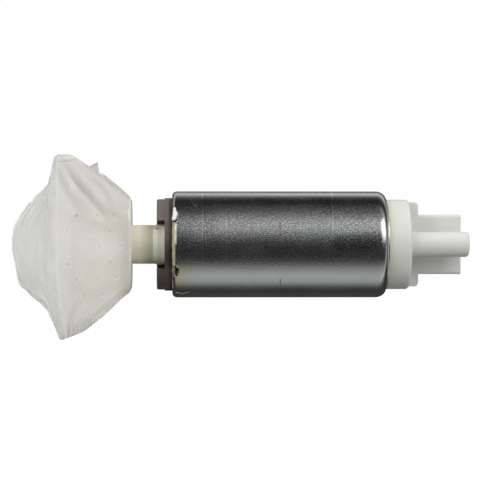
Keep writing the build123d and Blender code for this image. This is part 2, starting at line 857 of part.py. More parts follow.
# Terminals: blades in the connector, each with a foot on its choke
for name, side in (("a", 1), ("b", -1)):
    blade_y = shroud_front + shroud_depth / 2
    blade_z = side * terminal_spacing / 2
    foot_place = ((blade_y + choke_offset_y) / 2, (blade_z + side * choke_offset_z) / 2)
    with BuildPart() as terminal:
        with BuildSketch(section(cavity_face - foot_thickness)):
            with Locations((blade_y, blade_z)):
                Rectangle(terminal_thickness, terminal_width)
        extrude(amount=outlet_rim + shroud_reach - terminal_recess - cavity_face + foot_thickness)
        chamfer(terminal.faces().sort_by(Axis.X)[-1].edges(), terminal_lead)
        with BuildSketch(section(cavity_face - foot_thickness)):
            with Locations(foot_place):
                Rectangle(foot_width, choke_offset_z - terminal_spacing / 2 + terminal_width)
        extrude(amount=foot_thickness)
    write(terminal.part, f"terminal_{name}")

# Rubber ring between the cap's skirt and the shell
seal_radius = (shell_bore - cap_skirt_radius) / 2 - snug
with BuildPart() as cap_seal:
    with BuildSketch(Plane.XZ):
        with Locations((cap_inner_face - seal_radius - snug, (shell_bore + cap_skirt_radius) / 2)):
            Circle(seal_radius)
    revolve(axis=Axis.X)
write(cap_seal.part, "cap_seal")

# Check valve: seat, sprung poppet and the retainer that guides its stem
seat_face = cavity_face + check_seat_length
poppet_face = seat_face + snug
retainer_end = cap_face - nipple_root
retainer_start = retainer_end - retainer_length
check_seat = tube(cavity_face, seat_face, check_seat_bore, check_chamber_radius - press, nipple_axis)
write(check_seat, "check_seat")
with BuildPart() as check_poppet:
    with BuildSketch(Plane.XZ.offset(nipple_offset)):
        with BuildLine():
            Polyline(
                (poppet_face - poppet_nose, 0),
                (poppet_face - poppet_nose, poppet_stem_radius),
                (poppet_face, check_seat_bore - 2 * slip),
                (poppet_face, poppet_radius),
                (poppet_face + poppet_head, poppet_radius),
                (poppet_face + poppet_head, poppet_stem_radius),
                (retainer_start + stem_engagement, poppet_stem_radius),
                (retainer_start + stem_engagement, 0),
                close=True,
            )
        make_face()
    revolve(axis=nipple_axis)
write(check_poppet.part, "check_poppet")
check_spring = coil(
    poppet_face + poppet_head + spring_gap,
    retainer_start - spring_gap,
    check_spring_radius,
    check_spring_wire,
    check_spring_turns,
    (-nipple_offset, 0),
)
write(check_spring, "check_spring")
retainer_radius = check_chamber_radius - press
spoke_circle = (retainer_radius - retainer_ring + retainer_hub_radius) / 2
with BuildPart() as check_retainer:
    with BuildSketch(section(retainer_start)):
        with Locations((-nipple_offset, 0)):
            Circle(retainer_radius)
            Circle(retainer_radius - retainer_ring, mode=Mode.SUBTRACT)
            Circle(retainer_hub_radius)
            with PolarLocations(spoke_circle, retainer_spokes):
                Rectangle(retainer_radius - retainer_hub_radius, retainer_spoke)
            Circle(poppet_stem_radius + snug, mode=Mode.SUBTRACT)
    extrude(amount=retainer_length)
write(check_retainer.part, "check_retainer")

# Relief valve: sprung ball on a bored seat under a vented plug
ball_rise = sqrt(relief_ball_radius**2 - relief_seat_bore**2)
ball_x = cavity_face + relief_wall + ball_rise + snug
plug_end = cap_face - relief_plug_recess
with BuildPart() as relief_ball:
    with Locations((ball_x, relief_y, relief_z)):
        Sphere(relief_ball_radius)
write(relief_ball.part, "relief_ball")
relief_spring = coil(
    ball_x + relief_ball_radius + spring_gap,
    plug_end - relief_plug_length - spring_gap,
    relief_spring_radius,
    relief_spring_wire,
    relief_spring_turns,
    (relief_y, relief_z),
)
write(relief_spring, "relief_spring")
relief_plug = tube(
    plug_end - relief_plug_length, plug_end, relief_vent_radius, relief_chamber_radius - press, relief_axis
)
write(relief_plug, "relief_plug")
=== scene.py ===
"""In-tank fuel pump: finishes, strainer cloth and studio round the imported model, in metres."""

import math

import bpy
from bpy.props import FloatProperty, FloatVectorProperty, IntProperty, PointerProperty
from bpy.types import Operator, Panel, PropertyGroup
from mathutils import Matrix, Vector, noise


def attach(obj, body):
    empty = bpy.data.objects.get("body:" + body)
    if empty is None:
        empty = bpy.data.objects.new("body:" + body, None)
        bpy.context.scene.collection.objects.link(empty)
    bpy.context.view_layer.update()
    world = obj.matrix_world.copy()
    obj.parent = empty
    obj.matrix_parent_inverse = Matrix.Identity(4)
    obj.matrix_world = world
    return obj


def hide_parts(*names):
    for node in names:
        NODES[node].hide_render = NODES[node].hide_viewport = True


bl_info = {
    "name": "Fuel pump finishes",
    "version": (1, 0, 0),
    "blender": (4, 5, 0),
    "location": "View3D > Sidebar > Fuel pump",
    "description": "Dresses an in-tank fuel pump: plated shell, mouldings, strainer cloth and studio",
    "category": "Object",
}

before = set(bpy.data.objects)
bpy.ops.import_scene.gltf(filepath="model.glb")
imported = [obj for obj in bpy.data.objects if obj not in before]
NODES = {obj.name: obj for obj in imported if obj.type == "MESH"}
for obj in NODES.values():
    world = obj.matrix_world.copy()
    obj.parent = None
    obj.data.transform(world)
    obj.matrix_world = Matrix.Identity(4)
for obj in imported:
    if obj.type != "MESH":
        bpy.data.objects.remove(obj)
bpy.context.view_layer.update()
MM = 0.001

# The photograph's framing: pixels of the 480 wide image, and the real size of one at the pump's axis
PIXEL = 0.3585
IMAGE_WIDTH_PX = 480
IMAGE_CENTRE_PX = (240.0, 240.0)
AXIS_PX = (279.1, 244.4)
# How far the camera is from the pump's axis and along it from the picture's middle, in millimetres
CAMERA_DISTANCE = 800.0
CAMERA_SHIFT = -24.4
SENSOR_WIDTH = 36
# The studio floor's width, in metres
FLOOR_SIZE = 12
# The shell's and the strainer neck's own sizes, in millimetres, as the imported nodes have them
SHELL_RADIUS = 19.0
NECK_Y = -8.0


def linear(code):
    """An sRGB hex colour as linear red, green, blue and alpha."""
    values = [int(code[i:i + 2], 16) / 255 for i in (0, 2, 4)]
    return tuple(v / 12.92 if v <= 0.04045 else ((v + 0.055) / 1.055) ** 2.4 for v in values) + (1.0,)


def grey(level):
    """A linear grey with full alpha."""
    return (level, level, level, 1.0)


def at_pixel(px, py):
    """Place in millimetres along the pump and up, of a pixel seen at the pump's axis."""
    return (px - AXIS_PX[0]) * PIXEL, (AXIS_PX[1] - py) * PIXEL


def seen_at(place):
    """Where the camera sees a place, in millimetres at the pump's axis."""
    eye_x, eye_z = at_pixel(*IMAGE_CENTRE_PX)
    eye_x += CAMERA_SHIFT
    nearer = CAMERA_DISTANCE / (CAMERA_DISTANCE + place.y)
    return eye_x + (place.x - eye_x) * nearer, eye_z + (place.z - eye_z) * nearer


def plug(tree, node, sockets):
    """Sets a node's sockets, in their order on the node or by name, each to a value or to a link: from a
    socket, or from the first output in use of a node."""
    inputs = node.inputs
    if not isinstance(sockets, dict):
        inputs = [socket for socket in inputs if socket.enabled]
        sockets = dict(enumerate(sockets))
    for key, value in sockets.items():
        if isinstance(value, bpy.types.Node):
            value = next(output for output in value.outputs if output.enabled)
        if isinstance(value, bpy.types.NodeSocket):
            tree.links.new(value, inputs[key])
        else:
            inputs[key].default_value = value


def add_node(tree, kind, sockets=(), stops=(), **settings):
    """Adds one shader node with its settings, the stops of its ramp and its sockets. A map range's
    sockets are its value, from where to where that runs, and what the two ends become."""
    made = tree.nodes.new("ShaderNode" + kind)
    for name, value in settings.items():
        setattr(made, name, value)
    if stops:
        ramp = made.color_ramp.elements
        while len(ramp) < len(stops):
            ramp.new(1.0)
        for element, (position, colour) in zip(ramp, stops):
            element.position = position
            element.color = colour
    plug(tree, made, sockets)
    return made


def empty_tree(holder):
    """The node tree of a material or a world, with nothing in it."""
    holder.use_nodes = True
    holder.node_tree.nodes.clear()
    return holder.node_tree


def new_material(name, **shader_values):
    """A material with one Principled shader, its plain values set on the shader's own sockets."""
    material = bpy.data.materials.new(name)
    tree = empty_tree(material)
    values = {socket.replace("_", " "): value for socket, value in shader_values.items()}
    shader = add_node(tree, "BsdfPrincipled", values)
    add_node(tree, "OutputMaterial", {"Surface": shader})
    return material, tree, shader


def dress(material, *nodes):
    """Gives CAD nodes their material."""
    for name in nodes:
        slots = NODES[name].data.materials
        slots.clear()
        slots.append(material)


def colour_property(name, description, default):
    """A colour in the panel, as linear red, green, blue and alpha."""
    return FloatVectorProperty(
        name=name, description=description, subtype="COLOR", size=4, default=default, min=0, max=1
    )


def length_property(name, description, default):
    """A length in the panel, given here in millimetres."""
    return FloatProperty(name=name, description=description, unit="LENGTH", default=default * MM)


class ShellFinish(PropertyGroup):
    """Sizes and colours of the plated shell."""

    colour: colour_property("Plating", "Colour of the zinc plating", linear("C8CBC9"))
    stain: colour_property("Stain", "Brown film at the inlet rim", linear("C6BDA4"))
    grain: length_property("Grain", "Width of one grain of the plating", 0.4)
    grain_depth: FloatProperty(name="Grain depth", description="How rough the crystal grain is", default=1.0)
    roughness: FloatProperty(name="Roughness", description="How satin the plating is", default=0.24)


class MouldingFinish(PropertyGroup):
    """Colours of the plastic mouldings."""

    acetal: colour_property("Acetal", "Outlet cap", linear("E6E6E0"))
    nylon: colour_property("Nylon", "Strainer neck and its plate", linear("F1ECD6"))
    stub: colour_property("Stub", "Inlet stub behind the neck's windows", linear("DAD9CB"))
    phenolic: colour_property("Phenolic", "Brown inlet cover", linear("6B5E58"))


class SockShape(PropertyGroup):
    """Sizes and colours of the strainer cloth."""

    around: IntProperty(name="Around", description="Faces round the sock", default=600, min=60)
    along: IntProperty(
        name="Along", description="Faces along the sock from plate to tip", default=160, min=40
    )
    rib: length_property("Rib spacing", "Spacing of the woven ribs", 0.83)
    dot_depth: length_property("Dot depth", "Depth of each welded dot", 0.4)
    fold_depth: length_property("Fold depth", "Depth of the soft folds", 0.8)
    cloth: colour_property("Cloth", "Plate side of the sock", linear("FEFBF7"))
    dome: colour_property("Dome", "Cooler far side of the sock", linear("FDFEFC"))
    ridge: colour_property("Ridge", "Tint of the seam's ridge", (1.0, 0.995, 0.955, 1.0))
    band: colour_property("Band", "Tint of the welded band behind the ridge", (0.93, 0.93, 0.90, 1.0))
    thread: FloatProperty(name="Thread", description="How dark it is between the ribs", default=0.2)
    # Painted shade: how much darker the hollows of folds and dots are drawn
    crease: FloatProperty(name="Crease", description="How much darker a fold's bottom is", default=0.38)
    open_share: FloatProperty(
        name="Open share", description="Share of the light that the mesh lets through", default=0.66
    )


class Studio(PropertyGroup):
    """Camera, lamps and floor."""

    distance: length_property("Camera distance", "From the pump's axis", CAMERA_DISTANCE)
    floor_drop: length_property("Floor drop", "How far the floor is under the pump's axis", 125.0)
    fill: FloatProperty(name="Fill", description="Soft light from all round", default=0.55)
    key: FloatProperty(name="Key", description="Power of each side lamp", unit="POWER", default=2.6)
    top: FloatProperty(name="Top", description="Power of the top lamp", unit="POWER", default=1.2)


# Sock outline, from the plate to the far tip. Each station gives the place along the pump and the
# reach from the neck's axis of three lines: side, top and bottom, in millimetres.
SOCK_CONE = (
    ((-53.3, 13.2), (-53.3, 16.4), (-53.1, -16.6)),
    ((-54.0, 14.0), (-54.2, 17.0), (-54.0, -17.6)),
    ((-56.8, 16.2), (-57.0, 19.5), (-56.9, -20.0)),
    ((-61.8, 19.9), (-62.3, 23.9), (-61.8, -24.2)),
    ((-67.8, 23.9), (-67.8, 27.8), (-68.4, -29.9)),
    ((-73.2, 26.8), (-73.8, 31.5), (-72.6, -31.9)),
    ((-77.9, 28.0), (-78.6, 31.6), (-75.6, -32.9)),
)
SOCK_RIM = (
    ((-81.0, 27.9), (-79.3, 31.5), (-77.6, -33.8)),
    ((-81.6, 27.5), (-79.7, 30.7), (-78.4, -32.2)),
    ((-82.0, 27.0), (-79.6, 29.2), (-79.3, -29.6)),
)
SOCK_DOME = (
    ((-82.4, 26.2), (-79.6, 27.4), (-79.8, -27.5)),
    ((-85.4, 23.4), (-81.4, 22.1), (-82.4, -23.1)),
    ((-89.0, 18.6), (-86.5, 16.7), (-87.4, -18.6)),
    ((-92.0, 12.8), (-91.1, 11.5), (-92.2, -13.4)),
    ((-94.1, 6.4), (-94.0, 5.6), (-93.8, -7.6)),
    ((-94.9, 0.0), (-94.9, -0.8), (-94.9, -0.8)),
)
# Soft folds that fan out from the rim's top, each with its half width in millimetres and how deep it
# is, and the welded dots, as pixels of the photograph
# A fold's depth also sets how much painted shade it gets
FOLDS_PX = (
    (((64, 161), (72.5, 175), (79, 183), (88, 193), (98, 205), (110, 220)), 1.15, 0.95),
    (((58, 166), (63, 180), (70, 194), (82, 212)), 1.3, 0.5),
    (((92, 174), (101, 184), (108, 196), (114, 210)), 0.9, 0.3),
    (((82, 163), (97, 173), (113, 185), (128, 197)), 0.6, 0.3),
    # A thin groove under the top tab, with the painted shadow that the tab casts on the cloth
    (((55, 160.6), (60, 160.9), (68, 160.2), (76, 161)), 0.4, 0.85),
    (((67, 332), (72, 312), (82, 300)), 1.0, 0.3),
    (((84, 326), (108, 304), (126, 292)), 0.9, 0.3),
    (((60, 262), (72, 286), (92, 296), (112, 290)), 1.8, 0.16),
)
DOTS_PX = (
    (77.5, 215.8), (98.3, 215.8), (114.2, 215),
    (67.5, 231.7), (89, 232), (110, 230.8),
    (79.7, 248.3), (100, 247), (120, 246.3),
    (67.5, 264.7), (88.7, 263.7), (110, 263),
    (76.7, 279.7), (97.5, 278.3), (116.2, 277.5),
    (83.8, 295.3), (103.3, 295),
)


def smooth_line(points, share):
    """A place on the smooth curve through the points, at a share of the way along them."""
    last = len(points) - 1
    place = min(share, 0.999999) * last
    start = int(place)
    local = place - start
    before = points[max(start - 1, 0)]
    first = points[start]
    second = points[start + 1]
    after = points[min(start + 2, last)]
    made = []
    for a, b, c, d in zip(before, first, second, after):
        made.append(
            0.5 * (2 * b + (c - a) * local + (2 * a - 5 * b + 4 * c - d) * local**2
                   + (3 * b - a - 3 * c + d) * local**3)
        )
    return made


# Shares of the rows that lie on the cone and on the rim, which has the sharper bends
CONE_SHARE = 0.58
RIM_SHARE = 0.12


def sock_rows(count):
    """Rows of the sock's three lines from the plate to the tip, with where each lies: 0 to 1 on the
    cone, 1 to 2 on the rim and 2 to 3 on the dome."""
    cone_rows = int(count * CONE_SHARE)
    rim_rows = int(count * RIM_SHARE)
    parts = (
        (SOCK_CONE, cone_rows),
        (SOCK_CONE[-1:] + SOCK_RIM + SOCK_DOME[:1], rim_rows),
        (SOCK_DOME, count - cone_rows - rim_rows),
    )
    rows = []
    for part, (stations, steps) in enumerate(parts):
        flat = [[value for line in station for value in line] for station in stations]
        for step in range(steps):
            share = step / steps
            rows.append((part + share, smooth_line(flat, share)))
    rows.append((3.0, smooth_line(flat, 1.0)))
    return rows


def sock_turns(front, back):
    """Turns round the sock from the middle of its front, closer together on the front than behind."""
    turns = [math.pi * step / front for step in range(front // 2)]
    turns += [math.pi / 2 + math.pi * step / back for step in range(back)]
    turns += [math.pi * 1.5 + math.pi * step / front for step in range(front // 2)]
    return turns


# How square the sock is from front to back, where 2 is an ellipse, and how much squarer at the plate
ROUNDNESS = 2.15
PLATE_SQUARER = 1.2


def squared(value, power):
    """A cosine or sine drawn out towards a rounded square."""
    return math.copysign(abs(value) ** (2 / power), value)


def sock_point(row, turn):
    """Place in millimetres on one row of the sock, at a turn from the side that faces -Y."""
    where, (side_x, depth, top_x, top_z, low_x, low_z) = row
    power = ROUNDNESS + PLATE_SQUARER * max(0.0, 1 - where * 1.8)
    across = squared(math.cos(turn), power)
    up = squared(math.sin(turn), power)
    middle = (top_z + low_z) / 2
    end_x, end_z = (top_x, top_z) if up > 0 else (low_x, low_z)
    x = side_x * (1 - up * up) + end_x * up * up
    return Vector((x, NECK_Y - across * depth, middle + abs(up) * (end_z - middle)))


def line_distance(x, z, line):
    """Distance from a place to a bent line in the side view, and how far along the line it is."""
    best = (math.inf, 0.0)
    here = Vector((x, z))
    for index, (start, end) in enumerate(zip(line, line[1:])):
        way = end - start
        along = min(max((here - start).dot(way) / way.length_squared, 0.0), 1.0)
        gap = (here - start - way * along).length
        if gap < best[0]:
            best = (gap, (index + along) / (len(line) - 1))
    return best


# The cloth's forms, in millimetres where they are lengths. A fold is a hollow with a low ridge on either
# side, a welded dot is a pit inside a raised ring, and the seam is a ridge at the edge of the cone. The
# hollows also get painted shade, and the ridges and the seam a painted highlight.
FOLD_RIDGE = 0.35
DOT_PIT_WIDTH = 0.5
DOT_RING_HEIGHT = 0.3
DOT_RING_RADIUS = 1.15
SEAM_HEIGHT = 0.28
# The seam's painted shade is below zero: a painted highlight along its ridge
SEAM_PAINTED_SHADE = -0.3
SEAM_WIDTH = 0.03
# Where the crumpled dome starts, on the scale of the sock's rows
CRUMPLE_FROM = 1.7


def mound(gap, width):
    """1 in the middle of a rounded mound, and nearly 0 at twice its width."""
    return math.exp(-((gap / width) ** 2))


def cloth_height(where, place, sizes, folds, dots):
    """How far the cloth stands out or sinks at a place, in millimetres, and how much painted shade it
    gets there, which below zero is a painted highlight.
    """
    height = 0.0
    crease = 0.0
    front = place.y < NECK_Y
    x, z = seen_at(place) if front else (place.x, place.z)
    if where < 1.02:
        height += 0.35 * noise.noise(place / 10) * min(1, where * 4)
        for line, width, strength in folds:
            gap, along = line_distance(x, z, line)
            if gap < 3.5 * width and (front or strength > 0.9):
                fade = math.sin(math.pi * min(max(along, 0.04), 0.98)) ** 0.5
                hollow = strength * fade * mound(gap, width)
                ridge = FOLD_RIDGE * strength * fade * mound(gap - 2 * width, width)
                height += sizes.fold_depth / MM * (ridge - hollow)
                # Painted shade in the fold's hollow, and a painted highlight on its ridges
                crease += hollow - ridge
        if front:
            for dot_x, dot_z in dots:
                gap = math.hypot(x - dot_x, z - dot_z)
                if gap < 3:
                    hollow = mound(gap, DOT_PIT_WIDTH)
                    ring = DOT_RING_HEIGHT * mound(gap - DOT_RING_RADIUS, 0.45)
                    height += sizes.dot_depth / MM * (ring - hollow)
                    # Painted shade in the dot's pit, and a faint painted highlight on its ring
                    crease += 0.5 * hollow - 0.1 * mound(gap - 1.0, 0.4)
    if where > CRUMPLE_FROM:
        # Three sizes of crumple, of which the first and last are drawn out upwards
        fade = min(1.0, (where - CRUMPLE_FROM) * 3)
        stretched = Vector((place.x / 5.5, place.y / 5.5, place.z / 13))
        height += 0.7 * fade * noise.noise(stretched + Vector((3, 7, 1)))
        height += 0.3 * fade * noise.noise(place / 3.2)
        height += 0.2 * fade * noise.noise(Vector((place.x / 1.5, place.y / 1.5, place.z / 4.5)))
    seam = mound(where - 1.0, SEAM_WIDTH)
    height += SEAM_HEIGHT * seam
    # A painted highlight along the seam's ridge
    crease += SEAM_PAINTED_SHADE * seam
    if 1 < where < 2:
        height += 0.12 * noise.noise(place / 2.5)
    return height * min(1.0, where * 7), crease


# Where the sock closes on the neck, behind the neck's plate: its place along the pump and its radius
NECK_RING_X = -54.25
NECK_RING_RADIUS = 5.7
# How the weave lies on the cloth, as shares of the length along and across it, and how it bends
WEAVE_ALONG = 0.88
WEAVE_ACROSS = 0.55
WEAVE_BEND = 0.0075


def make_sock(sizes):
    """The sock as one closed skin, with its weave's own flat coordinates in millimetres."""
    rows = sock_rows(sizes.along)
    turns = sock_turns(sizes.around * 2 // 3, sizes.around // 3)
    around = len(turns)
    folds = [([Vector(at_pixel(*bend)) for bend in line], width, depth) for line, width, depth in FOLDS_PX]
    dots = [at_pixel(*dot) for dot in DOTS_PX]
    cloth = bpy.data.meshes.new("strainer_cloth")
    points = []
    for row in rows[:-1]:
        points += [sock_point(row, turn) for turn in turns]
    tip = len(points)
    points.append(sock_point(rows[-1], 0.0))
    neck_ring = len(points)
    for turn in turns:
        across, up = NECK_RING_RADIUS * math.cos(turn), NECK_RING_RADIUS * math.sin(turn)
        points.append(Vector((NECK_RING_X, NECK_Y - across, up)))
    faces = []
    count = len(rows) - 1
    for row in range(count - 1):
        for step in range(around):
            after = (step + 1) % around
            faces.append((row * around + step, row * around + after,
                          (row + 1) * around + after, (row + 1) * around + step))
    for step in range(around):
        after = (step + 1) % around
        faces.append(((count - 1) * around + step, (count - 1) * around + after, tip))
        faces.append((neck_ring + step, neck_ring + after, after, step))
    faces.append(tuple(neck_ring + step for step in reversed(range(around))))
    cloth.from_pydata([tuple(p * MM) for p in points], [], faces)
    cloth.update()
    normals = [v.normal.copy() for v in cloth.vertices]
    # The painted shade is kept on each point, for the material to read
    painted_shades = cloth.attributes.new("crease", "FLOAT", "POINT")
    for index in range(count * around):
        where = rows[index // around][0]
        height, crease = cloth_height(where, points[index], sizes, folds, dots)
        cloth.vertices[index].co += normals[index] * (height * MM)
        painted_shades.data[index].value = crease
    sock = bpy.data.objects.new("strainer_cloth", cloth)
    bpy.context.scene.collection.objects.link(sock)
    write_weave(cloth, rows, points, turns)
    cloth.shade_smooth()
    return sock


# Loose scraps of the net behind the sock's upper edge, as pixels anticlockwise, with their place from
# front to back, and how thick they are, in millimetres
SCRAPS_PX = (
    ("net_corner", ((98.2, 162.2), (89.4, 166.8), (99.6, 174.2)), -3.0),
    ("net_edge", ((116, 189.5), (131.2, 199.5), (129, 195.5), (117, 184.8), (105, 175.2), (99, 172.6)), -1.0),
)
SCRAP_THICKNESS = 0.3


def make_scrap(name, corners, depth):
    """A thin closed sheet of the net."""
    flat = [at_pixel(*corner) for corner in corners]
    count = len(flat)
    points = [(x * MM, depth * MM, z * MM) for x, z in flat]
    points += [(x * MM, (depth + SCRAP_THICKNESS) * MM, z * MM) for x, z in flat]
    faces = [tuple(range(count)), tuple(range(2 * count - 1, count - 1, -1))]
    for corner in range(count):
        after = (corner + 1) % count
        faces.append((after, corner, corner + count, after + count))
    sheet = bpy.data.meshes.new(name)
    sheet.from_pydata(points, [], faces)
    sheet.update()
    layer = sheet.uv_layers.new(name="weave")
    for loop in sheet.loops:
        x, z = flat[loop.vertex_index % count]
        along, lean = WEAVE_ALONG * x, WEAVE_ACROSS * z
        layer.data[loop.index].uv = (along + lean, along - lean)
    scrap = bpy.data.objects.new(name, sheet)
    bpy.context.scene.collection.objects.link(scrap)
    return scrap


def write_weave(cloth, rows, points, turns):
    """Lays the weave flat, in millimetres: the first value runs across the ribs and the second across
    the finer threads, from arc lengths measured down from the plate and round from the front and back."""
    count = len(rows) - 1
    around = len(turns)
    top = next(step for step, turn in enumerate(turns) if turn >= math.pi / 2 - 0.001)
    back = next(step for step, turn in enumerate(turns) if turn >= math.pi - 0.001)
    runs = ((0, 1, top), (0, -1, top), (back, 1, back - top), (back, -1, back - top))
    across = []
    for row in range(count):
        ring = points[row * around:(row + 1) * around]
        lengths = [0.0] * around
        for start, way, steps in runs:
            run = 0.0
            for step in range(1, steps + 1):
                here = (start + way * step) % around
                before = (start + way * (step - 1)) % around
                run += (ring[here] - ring[before]).length
                lengths[here] = run * way if start == 0 else -run * way
        across.append(lengths)
    down = [0.0]
    for row in range(1, count):
        down.append(down[-1] + (points[row * around] - points[(row - 1) * around]).length)
    layer = cloth.uv_layers.new(name="weave")
    region = cloth.attributes.new("region", "FLOAT", "POINT")
    last = count * around
    wheres = [where for where, _ in rows[:-1] for _ in turns] + [3.0] + [0.0] * around
    region.data.foreach_set("value", wheres)
    for loop in cloth.loops:
        index = loop.vertex_index
        if index < last:
            row, step = divmod(index, around)
            up, away = across[row][step], down[row]
        else:
            up, away = 0.0, down[-1] if index == last else 0.0
        along, lean = WEAVE_ALONG * away, WEAVE_ACROSS * up - WEAVE_BEND * up * abs(up)
        layer.data[loop.index].uv = (along + lean, along - lean)


# What a wave texture of scale 1 repeats over
WAVE_PERIOD = math.pi / 10
# How open the net is against its open share, and where the tints of the welded seam are, by a place
# that is 0 at the plate, a third at the edge of the cone and 1 at the tip
NET_OPENNESS = ((0.0, 0.4), (0.085, 0.5), (0.125, 1.17), (0.2, 1.06), (0.3, 0.98), (0.6, 1.12))
SEAM_PLACES = (0.315, 0.328, 0.345, 0.385, 0.62, 0.70)


def woven_nylon(sizes):
    """Woven nylon mesh, heat welded: a soft translucent white with fine ribs. The ribs are drawn twice
    as wide as the real threads, so that they show."""
    material, tree, shader = new_material(
        "woven_nylon_mesh", Roughness=1.0, IOR=1.2, Subsurface_Weight=0.3,
        Subsurface_Scale=1.5 * MM, Subsurface_Radius=(1.0, 1.0, 1.0),
    )
    uv = add_node(tree, "UVMap", uv_map="weave")
    region = add_node(tree, "Attribute", attribute_name="region").outputs["Fac"]
    crease = add_node(tree, "Attribute", attribute_name="crease").outputs["Fac"]
    place = add_node(tree, "TexCoord").outputs["Object"]
    up = add_node(tree, "SeparateXYZ", {"Vector": place}).outputs["Z"]

    # The ribs run one way at the top and the other at the foot, over threads that cross them
    per_rib = WAVE_PERIOD / (sizes.rib / MM)
    warp = add_node(tree, "TexWave", {"Vector": uv, "Scale": per_rib, "Distortion": 0.8})
    weft = add_node(
        tree, "TexWave", {"Vector": uv, "Scale": per_rib / 1.05, "Distortion": 0.8},
        bands_direction="Y",
    )
    over = add_node(tree, "MapRange", (up, -14 * MM, 14 * MM, 0.12, 0.88))
    weave = add_node(tree, "Mix", (over, weft.outputs["Fac"], warp.outputs["Fac"]))
    bump = add_node(tree, "Bump", {"Height": weave, "Strength": 0.7, "Distance": 0.12 * MM})
    middle = add_node(tree, "Math", (up,), operation="ABSOLUTE")
    between = add_node(
        tree, "MapRange", (middle, 8 * MM, 18 * MM, 1 - sizes.thread * 0.75, 1 - sizes.thread)
    )

    # Colour: warm on the plate side, cool and lumpy on the dome, with the welded seam between them; painted
    # shade in hollows, painted highlights on ridges and the seam, and painted shade towards the top
    on_dome = add_node(tree, "MapRange", (region, 0.98, 1.04))
    base = add_node(tree, "Mix", (on_dome, tuple(sizes.cloth), tuple(sizes.dome)), data_type="RGBA")
    third = add_node(tree, "Math", (region, 3.0), operation="DIVIDE")
    tints = (grey(1.0), sizes.ridge, sizes.ridge, sizes.band, sizes.band, grey(1.0))
    seam = add_node(tree, "ValToRGB", (third,), stops=tuple(zip(SEAM_PLACES, tints)))
    thread = add_node(tree, "MapRange", (weave, 0.0, 1.0, between, 1.0))
    patches = add_node(tree, "TexNoise", {"Vector": place, "Scale": 1 / (7 * MM), "Detail": 3.0})
    mottle = add_node(tree, "MapRange", (patches, 0.3, 0.7, 0.95, 1.0))
    # Painted shade in the hollows of folds and dots, and a painted highlight on ridges and the seam
    shadow = add_node(tree, "MapRange", (crease, -0.4, 1.0, 1.05, 1 - sizes.crease))
    tall = add_node(tree, "Mapping", {"Vector": place, "Scale": (1.0, 1.0, 0.3)})
    lumps = add_node(tree, "TexNoise", {"Vector": tall, "Scale": 1 / (1.8 * MM), "Detail": 2.0})
    lumpy = add_node(tree, "MapRange", (lumps, 0.35, 0.65, 0.92, 1.0))
    crumpled = add_node(tree, "Mix", (on_dome, 1.0, lumpy))
    # Painted shade: the cloth drawn darker towards the top
    painted_top_shade = add_node(tree, "MapRange", (up, 0.0, 22 * MM, 1.0, 0.9))
    colour = base
    for factor in (seam, thread, mottle, shadow, painted_top_shade, crumpled):
        colour = add_node(tree, "VectorMath", (colour, factor), operation="MULTIPLY")

    # Light let through: little over the plate, where the cage is close, and more low down
    net = add_node(
        tree, "ValToRGB", (third,),
        stops=[(where, grey(sizes.open_share * share)) for where, share in NET_OPENNESS],
    )
    low = add_node(tree, "MapRange", (up, -3 * MM, -21 * MM, 0.0, 0.12))
    through = add_node(tree, "Math", (net, low), operation="ADD")
    plug(tree, shader, {"Transmission Weight": through, "Base Color": colour, "Normal": bump})
    return material


# Marks on the front of the shell, as pixels of the photograph: start, end, half width in millimetres
# and how much brighter or, below zero, darker the plating is there
# The broad marks and those in the stakes' pits are painted shade
SHELL_MARKS = (
    ((190.6, 199.5), (195.6, 206.8), 0.2, 2.0),
    ((195.6, 206.8), (198.2, 201.5), 0.18, 1.4),
    ((202.3, 193), (202.6, 240), 0.15, 0.5),
    ((202.6, 244), (202.8, 264), 0.15, 0.4),
    ((226, 196), (226.3, 262), 0.15, 0.3),
    ((280, 221), (280.2, 236), 0.2, -0.5),
    ((280.4, 279), (280.4, 285), 0.22, -0.55),
    ((331.2, 192), (333, 236), 0.18, 0.5),
    ((236, 268.6), (262, 269.4), 0.22, -0.22),
    ((302, 198.6), (304, 199.4), 0.35, 0.5),
    ((241, 252), (261, 249), 1.6, 0.16),
    # Broad painted shade that dims the mirrored bands
    ((184, 212), (184, 232), 5.0, -0.3),
    ((206, 211), (206, 222), 6.0, -0.2),
    ((340, 243), (380, 241), 4.0, -0.4),
    ((312, 203), (374, 203), 3.0, -0.2),
    # Painted shade in the pits of the stakes
    ((173.4, 221.5), (175.9, 221.2), 0.42, -0.92),
    ((175.0, 266.8), (176.7, 269.5), 0.5, -0.88),
    ((176.7, 269.5), (176.5, 275), 0.62, -0.92),
)
# Chalky film on the rolled rim with painted reflection of the bright room in it, and painted highlights
# along the rim and round its foot, as flat colour: start, end, half width in millimetres and colour
RIM_FILMS_AND_HIGHLIGHTS = (
    ((173.6, 223.5), (173.5, 264), 0.8, "AEAA84"),
    ((174.5, 208.5), (174.6, 213.5), 0.7, "F6F6EE"),
    ((174.9, 213), (173.6, 218), 1.25, "FAFAF4"),
    ((176.1, 223.5), (175.9, 244), 0.2, "E4E6E6"),
    ((172.9, 266.5), (173.0, 276.5), 0.85, "857C60"),
    ((172.4, 280), (172.5, 288), 0.32, "C4C6C2"),
    ((174.1, 193), (174.2, 207), 0.22, "8E9092"),
    ((176, 292.2), (182, 293.6), 0.22, "C8CAC8"),
    ((182, 293.6), (188.5, 292.2), 0.22, "BFC1BF"),
)


# Share of a mark's half width that is as strong as its middle
MARK_CORE = 0.4


